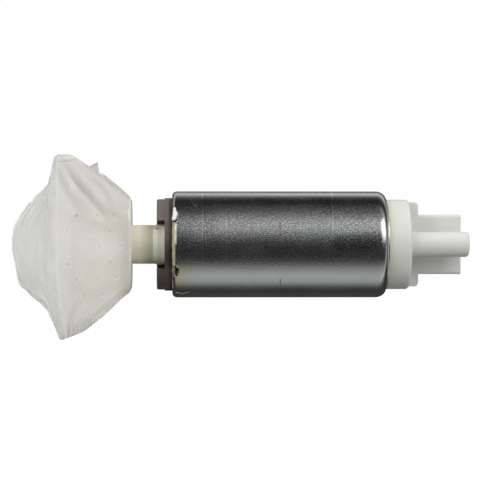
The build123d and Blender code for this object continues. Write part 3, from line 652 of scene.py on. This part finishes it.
def on_shell(px, py):
    """Place along the pump and up, in metres, of a pixel seen on the front of the steel shell."""
    far_x, far_z = at_pixel(px, py)
    eye_x, eye_z = at_pixel(*IMAGE_CENTRE_PX)
    eye_x += CAMERA_SHIFT
    x, z = far_x, far_z
    for _ in range(3):
        nearer = CAMERA_DISTANCE / (CAMERA_DISTANCE - math.sqrt(max(SHELL_RADIUS**2 - z * z, 0.0)))
        x = eye_x + (far_x - eye_x) / nearer
        z = eye_z + (far_z - eye_z) / nearer
    return Vector((x, 0, z)) * MM


def scratch_mask(tree, side_view, start, end, half_width):
    """1 on a straight mark between two places of the side view, fading to 0 at its half width."""
    way = end - start
    away = add_node(tree, "VectorMath", (side_view, tuple(start)), operation="SUBTRACT")
    along = add_node(tree, "VectorMath", (away, tuple(way / way.length_squared)), operation="DOT_PRODUCT")
    held = add_node(tree, "Math", (along, 0.0), operation="ADD", use_clamp=True)
    nearest = add_node(tree, "VectorMath", (tuple(way), held), operation="SCALE")
    gap = add_node(tree, "VectorMath", (away, nearest), operation="DISTANCE")
    return add_node(
        tree, "MapRange", (gap, MARK_CORE * half_width * MM, half_width * MM, 1.0, 0.0),
        interpolation_type="SMOOTHSTEP",
    )


def zinc_plate(sizes):
    """Zinc plated drawn steel: satin grey mirror, a coarse crystal grain on its upper half, handling
    scratches, a chalky film on the rolled rim and a brown one beside it. Broad patches and the stakes' pits
    get painted shade, and the rim painted highlights and painted reflection. The real grain is too fine to
    show, so it is drawn 0.4 mm wide."""
    material, tree, shader = new_material("zinc_plated_steel", Metallic=1.0)
    here = add_node(tree, "TexCoord").outputs["Object"]
    along, depth, up = add_node(tree, "SeparateXYZ", {"Vector": here}).outputs
    grain = add_node(tree, "TexNoise", {"Vector": here, "Scale": 1 / sizes.grain, "Detail": 1.0})
    cloud = add_node(tree, "TexNoise", {"Vector": here, "Scale": 1 / (14 * MM), "Detail": 3.0})
    rough = add_node(tree, "MapRange", (cloud, 0.3, 0.7, sizes.roughness - 0.03, sizes.roughness + 0.04))

    # The grain fades towards the foot, the top and both rolled ends
    coarse = add_node(tree, "MapRange", (up, -9 * MM, -3 * MM, 0.1, sizes.grain_depth))
    off_top = add_node(tree, "MapRange", (up, 12 * MM, 17 * MM, 1.0, 0.3))
    off_rim = add_node(tree, "MapRange", (along, -37.4 * MM, -36.6 * MM))
    off_end = add_node(tree, "MapRange", (along, 36.0 * MM, 34.8 * MM))
    for fade in (off_top, off_rim, off_end):
        coarse = add_node(tree, "Math", (coarse, fade), operation="MULTIPLY")
    bump = add_node(tree, "Bump", {"Height": grain, "Strength": coarse, "Distance": 0.08 * MM})
    speck = add_node(tree, "MapRange", (grain, 0.42, 0.68, 0.8, 1.5))
    gloss = add_node(tree, "Mix", (coarse, 1.0, speck))

    film_x = add_node(tree, "MapRange", (along, -36.4 * MM, -30.5 * MM, 0.8, 0.0))
    film_z = add_node(tree, "MapRange", (up, -3.0 * MM, -7.0 * MM))
    film = add_node(tree, "Math", (film_x, film_z), operation="MULTIPLY")
    stained = add_node(tree, "Mix", (film, tuple(sizes.colour), tuple(sizes.stain)), data_type="RGBA")

    # Marks, with their painted shade, and films, with their painted highlights, are on the front only
    side_view = add_node(tree, "VectorMath", (here, (1.0, 0.0, 1.0)), operation="MULTIPLY")
    front = add_node(tree, "MapRange", (depth, -1 * MM, -2 * MM))
    scored = gloss
    for start, end, half_width, strength in SHELL_MARKS:
        mask = scratch_mask(tree, side_view, on_shell(*start), on_shell(*end), half_width)
        scored = add_node(tree, "Math", (mask, strength, scored), operation="MULTIPLY_ADD")
    marked = add_node(tree, "Mix", (front, gloss, scored))
    colour = add_node(tree, "VectorMath", (stained, marked), operation="MULTIPLY")
    metal = 1.0
    # The rim's film, painted reflection and painted highlights take the metal's place
    for start, end, half_width, code in RIM_FILMS_AND_HIGHLIGHTS:
        mask = scratch_mask(tree, side_view, on_shell(*start), on_shell(*end), half_width)
        mask = add_node(tree, "Math", (mask, front), operation="MULTIPLY")
        colour = add_node(tree, "Mix", (mask, colour, linear(code)), data_type="RGBA")
        metal = add_node(tree, "Mix", (mask, metal, 0.0))
    plug(tree, shader, {"Base Color": colour, "Metallic": metal, "Roughness": rough, "Normal": bump})
    return material


def corner_arc(centre, radius, first, last, steps):
    """Places on an arc of the shell's profile: along the pump and out from its axis, in millimetres."""
    turns = [math.radians(first + (last - first) * step / steps) for step in range(steps + 1)]
    return [(centre[0] + radius * math.cos(turn), centre[1] + radius * math.sin(turn)) for turn in turns]


def shell_profile():
    """Closed outline of the shell's wall: rolled inlet lip, tube, rolled outlet lip and bore."""
    inlet = corner_arc((-36.6, 17.3), 1.7, 180, 90, 12)
    tube = [(-36.35 + 0.25 * step, SHELL_RADIUS) for step in range(12)]
    tube += [(-30 + 6 * step, SHELL_RADIUS) for step in range(11)]
    # The outlet's corner is an arc drawn out along the pump
    start, drop, reach = 34.5, 2.7, 3.55
    corner = corner_arc((start, 16.3), drop, 90, 0, 16)
    outlet = [(start + reach * (x - start) / drop, radius) for x, radius in corner]
    outlet += [(38.28, 16.25), (38.3, 16.2)]
    bore = [(38.1, 16.15), (36.8, 16.15), (36.8, 17.0), (36.5, 17.5)]
    bore += [(-36.4, 17.5), (-36.8, 17.3), (-36.8, 16.7)]
    return [(-38.15, 16.7), (-38.3, 16.85)] + inlet + tube + outlet + bore


def draw_tube(name, profile, around):
    """A closed tube round the pump's axis, drawn out ring by ring from one circle."""
    bpy.ops.object.select_all(action="DESELECT")
    x, radius = profile[0]
    bpy.ops.mesh.primitive_circle_add(
        vertices=around, radius=radius * MM, location=(x * MM, 0, 0), rotation=(0, math.pi / 2, 0)
    )
    piece = bpy.context.active_object
    piece.name = name
    bpy.ops.object.transform_apply(location=True, rotation=True, scale=True)
    bpy.ops.object.mode_set(mode="EDIT")
    bpy.ops.mesh.select_all(action="SELECT")
    for (x, radius), (next_x, next_radius) in zip(profile, profile[1:] + profile[:1]):
        bpy.ops.mesh.extrude_region_move(TRANSFORM_OT_translate={"value": ((next_x - x) * MM, 0, 0)})
        growth = next_radius / radius
        bpy.ops.transform.resize(value=(1, growth, growth), center_override=(next_x * MM, 0, 0))
    bpy.ops.mesh.select_all(action="SELECT")
    bpy.ops.mesh.remove_doubles(threshold=0.01 * MM)
    bpy.ops.mesh.normals_make_consistent(inside=False)
    bpy.ops.mesh.select_all(action="DESELECT")
    bpy.ops.object.mode_set(mode="OBJECT")
    return piece


def push(piece, place, way, reach, falloff):
    """Pushes the surface at a place, and less and less of what is round it, as a punch does."""
    mesh = piece.data
    nearest = min(mesh.vertices, key=lambda vertex: (vertex.co - place).length_squared)
    for vertex in mesh.vertices:
        vertex.select = False
    nearest.select = True
    bpy.context.view_layer.objects.active = piece
    bpy.ops.object.mode_set(mode="EDIT")
    bpy.ops.transform.translate(
        value=way, use_proportional_edit=True, proportional_edit_falloff=falloff, proportional_size=reach
    )
    bpy.ops.mesh.select_all(action="DESELECT")
    bpy.ops.object.mode_set(mode="OBJECT")


# The two stakes on the front of the rim, as pixels: how far each push moves the surface out and
# towards the strainer, and over what reach, in millimetres. A push inwards is a punch's pit.
STAKE_PUSHES = (
    (174.6, 211, 0.35, 0.05, 1.3), (175.0, 214, 0.4, 0.15, 1.6), (173.2, 218, 0.4, 0.5, 2.0),
    (174.4, 221.6, -0.6, 0.0, 0.7), (175.8, 221.4, -0.6, 0.0, 0.7),
    (173.2, 266, 0.25, 0.3, 1.6), (172.8, 271.5, 0.35, 0.5, 2.0), (173.2, 276, 0.2, 0.3, 1.6),
    (175.6, 267.4, -0.5, 0.0, 0.6), (176.6, 269.6, -0.7, 0.0, 0.8), (176.7, 272.6, -0.7, 0.0, 0.8),
    (172.8, 232, 0.0, 0.3, 2.5), (172.8, 244, 0.0, 0.35, 3.0), (172.8, 256, 0.0, 0.3, 2.5),
)


def stake(piece, px, py, out, aside, reach, behind):
    """One push of the staking punch on the front of the rim, or in the same place behind."""
    place = on_shell(px, py)
    side = 1 if behind else -1
    outward = Vector((0, side * math.sqrt((SHELL_RADIUS * MM) ** 2 - place.z**2), place.z)).normalized()
    at = outward * SHELL_RADIUS * MM + Vector((place.x, 0, 0))
    way = outward * out * MM - Vector((aside * MM, 0, 0))
    push(piece, at, way, reach * MM, "SPHERE" if out < 0 else "SMOOTH")


# Tints along and across the mouldings: painted light and shade on the neck and the cover, and a cap
# yellower towards the shell
# The neck: its plate less yellow, painted shade towards the cover, painted light through the collar's thin
# wall from the white stub inside, and a painted highlight on the collar's end
NECK_ZONES = (
    ("X", -52.6, -51.8, (1.0, 1.02, 1.12), (1.0, 1.0, 1.0)),
    ("X", -49.8, -46.3, (1.0, 1.0, 1.0), (0.56, 0.56, 0.52)),
    ("X", -45.3, -43.0, (1.0, 1.0, 1.0), (1.3, 1.34, 1.6)),
    ("X", -42.4, -41.6, (1.0, 1.0, 1.0), (1.3, 1.3, 1.3)),
)
# The cover: painted shade beside the shell, painted shadow of the neck across its middle, darkest below the
# neck's axis, and a top lighter than its foot as painted light
COVER_ZONES = (
    ("X", -40.7, -39.9, (1.0, 1.0, 1.0), (0.92, 0.92, 0.9)),
    ("X", -39.9, -39.0, (1.0, 1.0, 1.0), (0.42, 0.38, 0.35)),
    ("Z", -9.0, -7.0, (0.8, 0.82, 0.8), (0.44, 0.48, 0.36)),
    ("Z", -3.0, 3.0, (1.0, 1.0, 1.0), (2.2, 2.1, 2.6)),
    ("Z", 7.0, 9.0, (1.0, 1.0, 1.0), (1.18, 1.25, 1.33)),
)
CAP_ZONES = (("X", 39.0, 44.0, (1.0, 0.985, 0.91), (1.0, 1.0, 1.0)),)


def shaded_by_zones(tree, colour, zones):
    """The colour, tinted step by step along or across the piece. A zone names its axis, where it starts
    and ends in millimetres, and the tint at either end."""
    place = add_node(tree, "TexCoord").outputs["Object"]
    parts = add_node(tree, "SeparateXYZ", {"Vector": place}).outputs
    for axis, start, end, first, last in zones:
        share = add_node(tree, "MapRange", (parts[axis], start * MM, end * MM))
        tint = add_node(tree, "Mix", (share, (*first, 1.0), (*last, 1.0)), data_type="RGBA")
        colour = add_node(tree, "VectorMath", (colour, tint), operation="MULTIPLY")
    return colour


def moulded_plastic(name, colour, roughness, mottle=0.03, grain=1.2, zones=(), **values):
    """Injection moulded plastic: even colour with a faint flow cloud and a fine tool grain, whose width is
    in millimetres."""
    material, tree, shader = new_material(name, IOR=1.48, Subsurface_Radius=(1.0, 1.0, 1.0), **values)
    place = add_node(tree, "TexCoord").outputs["Object"]
    cloud = add_node(tree, "TexNoise", {"Vector": place, "Scale": 1 / (7 * MM), "Detail": 2.0})
    tool = add_node(tree, "TexNoise", {"Vector": place, "Scale": 1 / (grain * MM), "Detail": 2.0})
    bump = add_node(tree, "Bump", {"Height": tool, "Strength": 0.1, "Distance": 0.04 * MM})
    shade = add_node(tree, "MapRange", (cloud, 0.3, 0.7, 1 - mottle, 1 + mottle))
    tint = add_node(tree, "VectorMath", (tuple(colour)[:3], shade), operation="MULTIPLY")
    rough = add_node(tree, "MapRange", (cloud, 0.0, 1.0, roughness - 0.05, roughness + 0.05))
    tint = shaded_by_zones(tree, tint, zones)
    plug(tree, shader, {"Base Color": tint, "Roughness": rough, "Normal": bump})
    return material


def worked_metal(name, code, roughness, grain, streak, **values):
    """Bare metal as turned, ground, rolled or drawn: its grain, of a width in millimetres, is stretched
    the way that the tool went."""
    material, tree, shader = new_material(name, Metallic=1.0, **values)
    place = add_node(tree, "TexCoord").outputs["Object"]
    stretched = add_node(tree, "Mapping", {"Vector": place, "Scale": streak})
    marks = add_node(tree, "TexNoise", {"Vector": stretched, "Scale": 1 / (grain * MM), "Detail": 3.0})
    bump = add_node(tree, "Bump", {"Height": marks, "Strength": 0.15, "Distance": 0.03 * MM})
    rough = add_node(tree, "MapRange", (marks, 0.0, 1.0, roughness - 0.08, roughness + 0.08))
    shade = add_node(tree, "MapRange", (marks, 0.3, 0.7, 0.88, 1.06))
    tint = add_node(tree, "VectorMath", (linear(code)[:3], shade), operation="MULTIPLY")
    plug(tree, shader, {"Base Color": tint, "Roughness": rough, "Normal": bump})
    return material


# Metals inside: name, colour, roughness, width of the marks, how they are stretched, other values of the
# shader, and the nodes
EVEN = (1.0, 1.0, 1.0)
INNER_METALS = (
    # Ground and hardened: bright, with fine marks along the pump
    ("hard_steel_ground", "B8BABD", 0.22, 0.3, (0.1, 1, 1), {}, ("shaft", "relief_ball", "thrust_button")),
    # Sheets stamped and stacked: dull grey, lined across the pump
    ("silicon_steel_stamped", "77797C", 0.45, 0.5, (2.5, 0.4, 0.4), {}, ("armature_core",)),
    # Drawn wire and strip: a clean mid grey
    ("spring_steel_drawn", "A9ABAD", 0.3, 0.2, EVEN, {}, (
        "magnet_clip_a", "magnet_clip_b", "brush_spring_a", "brush_spring_b", "check_spring", "relief_spring",
    )),
    # Turned and braided copper: bright red metal
    ("copper_turned", "C47A4E", 0.32, 0.4, EVEN, {}, ("commutator_bars", "brush_lead_a", "brush_lead_b")),
    # Varnished wire: darker, under a glossy coat
    ("copper_wire_enamelled", "A2502A", 0.35, 0.7, EVEN, {"Coat_Weight": 0.6}, (
        "armature_windings", "choke_coil_a", "choke_coil_b",
    )),
    # Pressed powder: a dull brown metal
    ("bronze_sintered", "A67C47", 0.5, 0.25, EVEN, {}, (
        "lower_bush", "upper_bush", "check_seat", "relief_plug",
    )),
    # Tin on stamped brass: pale and bright, rolled along the blade
    ("brass_tin_plated", "BDBBB2", 0.28, 0.4, (0.2, 1, 1), {}, ("terminal_a", "terminal_b")),
)
# Mouldings and pressings inside: name, colour, roughness, cloudiness, width of the grain, and the nodes
INNER_MOULDINGS = (
    # Pressed and fired: dark grey and dull, a little cloudy
    ("ferrite_sintered", "3E3F42", 0.6, 0.1, 0.4, ("magnet_a", "magnet_b", "choke_core_a", "choke_core_b")),
    # Pressed graphite: nearly black, satin
    ("carbon_pressed", "2B2A2A", 0.55, 0.12, 0.3, ("brush_a", "brush_b")),
    # Moulded rubber: black and matt
    ("nitrile_rubber_moulded", "242424", 0.7, 0.05, 1.2, ("cap_seal",)),
    # Filled resin with ground faces: dark brown
    ("glass_filled_phenolic", "4A3A30", 0.5, 0.1, 0.4, ("impeller",)),
    # The cover's resin, without the cover's painted shade: brown and matt
    ("brown_phenolic_housing", "6B5E58", 0.5, 0.08, 0.5, ("pump_housing",)),
    # Moulded resin: black, even
    ("black_resin_moulded", "2C2D2E", 0.45, 0.03, 1.2, ("brush_holder", "commutator_hub", "check_retainer")),
    # Unfilled nylon: milky white
    ("nylon_valve_moulded", "D8D6CC", 0.4, 0.03, 1.2, ("check_poppet", "strainer_spreader")),
)


class FUELPUMP_OT_shell(Operator):
    """Finish the plated steel shell"""

    bl_idname = "fuelpump.shell"
    bl_label = "Plated shell"

    def execute(self, context):
        skin = draw_tube("shell_skin", shell_profile(), around=480)
        for behind in (False, True):
            for one in STAKE_PUSHES:
                stake(skin, *one, behind)
        bpy.ops.object.select_all(action="DESELECT")
        skin.select_set(True)
        bpy.context.view_layer.objects.active = skin
        bpy.ops.object.shade_smooth_by_angle(angle=math.radians(50))
        skin.data.materials.append(zinc_plate(context.scene.fuelpump_shell))
        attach(skin, "pump")
        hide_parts("pump_shell")
        return {"FINISHED"}


class FUELPUMP_OT_mouldings(Operator):
    """Finish the outlet cap, inlet cover, inlet stub and strainer neck"""

    bl_idname = "fuelpump.mouldings"
    bl_label = "Mouldings"

    def execute(self, context):
        sizes = context.scene.fuelpump_mouldings
        # Acetal: white with a soft gloss, and light enters it a little
        acetal = moulded_plastic(
            "white_acetal_moulded", sizes.acetal, 0.38, zones=CAP_ZONES,
            Subsurface_Weight=0.2, Subsurface_Scale=1.5 * MM,
        )
        dress(acetal, "outlet_cap")
        stub = moulded_plastic("cream_acetal_moulded", sizes.stub, 0.38)
        dress(stub, "inlet_stub")
        # Natural nylon: cream, glossier and milky; painted shade, painted light and a painted highlight along
        # it
        neck = moulded_plastic(
            "natural_nylon_moulded", sizes.nylon, 0.3, zones=NECK_ZONES,
            Subsurface_Weight=0.25, Subsurface_Scale=1.5 * MM,
        )
        dress(neck, "strainer_ferrule")
        # Phenolic: brown and matt, cloudy, with painted shade beside the shell and across its middle
        phenolic = moulded_plastic(
            "brown_phenolic_moulded", sizes.phenolic, 0.5, mottle=0.08, grain=0.5, zones=COVER_ZONES
        )
        dress(phenolic, "inlet_cover")
        return {"FINISHED"}


class FUELPUMP_OT_inner(Operator):
    """Finish the motor, the pumping chamber and the valves inside"""

    bl_idname = "fuelpump.inner"
    bl_label = "Inner parts"

    def execute(self, context):
        for name, code, roughness, grain, streak, values, nodes in INNER_METALS:
            dress(worked_metal(name, code, roughness, grain, streak, **values), *nodes)
        for name, code, roughness, mottle, grain, nodes in INNER_MOULDINGS:
            dress(moulded_plastic(name, linear(code), roughness, mottle, grain), *nodes)
        return {"FINISHED"}


class FUELPUMP_OT_strainer(Operator):
    """Build the woven sock over its plain solid"""

    bl_idname = "fuelpump.strainer"
    bl_label = "Strainer sock"

    def execute(self, context):
        sizes = context.scene.fuelpump_sock
        sock = make_sock(sizes)
        net = woven_nylon(sizes)
        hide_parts("strainer_sock")
        for piece in (sock, *(make_scrap(*scrap) for scrap in SCRAPS_PX)):
            piece.data.materials.append(net)
            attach(piece, "pump")
        return {"FINISHED"}


# Light that the plated shell mirrors, by direction: degrees round the pump from the camera's side,
# up positive, with how bright that part of the room is. The lamp over the camera is the peak at 43.
ROOM_BANDS = (
    (-180, 0.03), (-140, 0.07), (-122, 0.04), (-111, 0.05), (-100, 0.17), (-90, 0.40), (-73, 0.56),
    (-58, 0.40), (-50, 0.26), (-43, 0.13), (-36, 0.05), (-23, 0.02), (-8, 0.02), (3, 0.025), (15, 0.07),
    (29, 0.34), (43, 0.56), (57, 0.33), (72, 0.08), (90, 0.01), (112, 0.0), (126, 0.06), (141, 1.0),
    (153, 0.15), (162, 0.05), (180, 0.03),
)
# Where the strip light stands, in radians round the upright from the pump's outlet
STRIP_BEARING = -0.22


def light_room(world, fill):
    """White behind the object, an even fill, and for what mirrors it a room of soft bands that is dim
    towards both ends of the pump, with one upright strip light."""
    tree = empty_tree(world)
    ray = add_node(tree, "LightPath").outputs
    way = add_node(tree, "TexCoord").outputs["Generated"]
    x, y, z = add_node(tree, "SeparateXYZ", {"Vector": way}).outputs
    front = add_node(tree, "Math", (y, -1.0), operation="MULTIPLY")
    angle = add_node(tree, "Math", (z, front), operation="ARCTAN2")
    share = add_node(tree, "MapRange", (angle, -math.pi, math.pi))
    bands = add_node(
        tree, "ValToRGB", (share,),
        stops=[((turn + 180) / 360, grey(level)) for turn, level in ROOM_BANDS],
    )
    sideways = add_node(tree, "Math", (x,), operation="ABSOLUTE")
    dim = add_node(tree, "MapRange", (sideways, 0.5, 0.85, 1.0, 0.08))
    room = add_node(tree, "Background", {"Color": bands, "Strength": dim})
    bearing = add_node(tree, "Math", (y, x), operation="ARCTAN2")
    off_strip = add_node(tree, "Math", (bearing, STRIP_BEARING), operation="SUBTRACT")
    off_strip = add_node(tree, "Math", (off_strip,), operation="ABSOLUTE")
    strip_light = add_node(tree, "MapRange", (off_strip, 0.04, 0.2, 0.6, 0.0))
    strip = add_node(tree, "Background", {"Color": grey(1.0), "Strength": strip_light})
    room = add_node(tree, "AddShader", (room, strip))
    even = add_node(tree, "Background", {"Color": grey(1.0), "Strength": fill})
    white = add_node(tree, "Background", {"Color": grey(1.0), "Strength": 1.0})
    lit = add_node(tree, "MixShader", (ray["Is Glossy Ray"], even, room))
    seen = add_node(tree, "Math", (ray["Is Camera Ray"], ray["Is Transmission Ray"]), operation="MAXIMUM")
    both = add_node(tree, "MixShader", (seen, lit, white))
    add_node(tree, "OutputWorld", {"Surface": both})


def white_board():
    """Matt white board: it glows to the camera alone, so that it shows as plain white, and nothing
    mirrors it."""
    material = bpy.data.materials.new("white_board_matt")
    tree = empty_tree(material)
    board = add_node(tree, "BsdfDiffuse", {"Color": grey(0.28)})
    glow = add_node(tree, "Emission", {"Color": grey(1.0), "Strength": 0.85})
    bright = add_node(tree, "AddShader", (board, glow))
    clear = add_node(tree, "BsdfTransparent")
    ray = add_node(tree, "LightPath").outputs
    seen = add_node(tree, "MixShader", (ray["Is Camera Ray"], board, bright))
    shown = add_node(tree, "MixShader", (ray["Is Glossy Ray"], seen, clear))
    add_node(tree, "OutputMaterial", {"Surface": shown})
    return material


# Soft lamps: name, place and size in metres, the setting that has the power, and whether the pump
# mirrors it
LAMPS = (
    ("lamp_left", (-0.62, -0.52, 0.34), (0.5, 0.6), "key", True),
    ("lamp_right", (0.60, -0.50, 0.38), (0.5, 0.6), "key", True),
    ("lamp_top", (-0.05, 0.12, 0.85), (0.9, 0.6), "top", False),
)


def add_lamp(name, place, target, size, power, mirrored):
    """A square soft lamp that faces the target."""
    data = bpy.data.lights.new(name, "AREA")
    data.shape = "RECTANGLE"
    data.size, data.size_y = size
    data.energy = power
    lamp = bpy.data.objects.new(name, data)
    bpy.context.scene.collection.objects.link(lamp)
    lamp.location = place
    lamp.rotation_euler = (target - Vector(place)).to_track_quat("-Z", "Y").to_euler()
    lamp.visible_glossy = mirrored


class FUELPUMP_OT_stage(Operator):
    """Lay the pale floor, hang the lamps and set the camera"""

    bl_idname = "fuelpump.stage"
    bl_label = "Studio"

    def execute(self, context):
        sizes = context.scene.fuelpump_studio
        scene = context.scene
        bpy.ops.object.select_all(action="DESELECT")
        bpy.ops.mesh.primitive_plane_add(size=FLOOR_SIZE, location=(0, 0, -sizes.floor_drop))
        floor = context.active_object
        floor.name = "studio_floor"
        floor.data.materials.append(white_board())

        scene.world = bpy.data.worlds.new("studio_room")
        light_room(scene.world, sizes.fill)
        x, z = at_pixel(*IMAGE_CENTRE_PX)
        middle = Vector((x, 0, z)) * MM
        for name, place, size, setting, mirrored in LAMPS:
            add_lamp(name, place, middle, size, getattr(sizes, setting), mirrored)

        camera = bpy.data.objects.new("camera", bpy.data.cameras.new("camera"))
        scene.collection.objects.link(camera)
        camera.data.sensor_width = SENSOR_WIDTH
        camera.data.lens = SENSOR_WIDTH * sizes.distance / (IMAGE_WIDTH_PX * PIXEL * MM)
        camera.location = middle + Vector((CAMERA_SHIFT * MM, -sizes.distance, 0))
        camera.rotation_euler = (middle - camera.location).to_track_quat("-Z", "Y").to_euler()
        scene.camera = camera
        scene.view_settings.view_transform = "Standard"
        return {"FINISHED"}


class FUELPUMP_PT_panel(Panel):
    """Lists the steps that dress the pump"""

    bl_idname = "FUELPUMP_PT_panel"
    bl_label = "Fuel pump"
    bl_space_type = "VIEW_3D"
    bl_region_type = "UI"
    bl_category = "Fuel pump"

    def draw(self, context):
        for step in STEPS:
            self.layout.operator(step.bl_idname)


STEPS = (
    FUELPUMP_OT_stage,
    FUELPUMP_OT_shell,
    FUELPUMP_OT_mouldings,
    FUELPUMP_OT_inner,
    FUELPUMP_OT_strainer,
)
GROUPS = {
    "fuelpump_shell": ShellFinish,
    "fuelpump_mouldings": MouldingFinish,
    "fuelpump_sock": SockShape,
    "fuelpump_studio": Studio,
}


def register():
    for group in GROUPS.values():
        bpy.utils.register_class(group)
    for step in STEPS:
        bpy.utils.register_class(step)
    bpy.utils.register_class(FUELPUMP_PT_panel)
    for name, group in GROUPS.items():
        setattr(bpy.types.Scene, name, PointerProperty(type=group))


def unregister():
    for name in GROUPS:
        delattr(bpy.types.Scene, name)
    for made in (FUELPUMP_PT_panel, *STEPS, *GROUPS.values()):
        bpy.utils.unregister_class(made)


def main():
    register()
    bpy.ops.fuelpump.stage()
    bpy.ops.fuelpump.shell()
    bpy.ops.fuelpump.mouldings()
    bpy.ops.fuelpump.inner()
    bpy.ops.fuelpump.strainer()


if __name__ == "__main__":
    main()
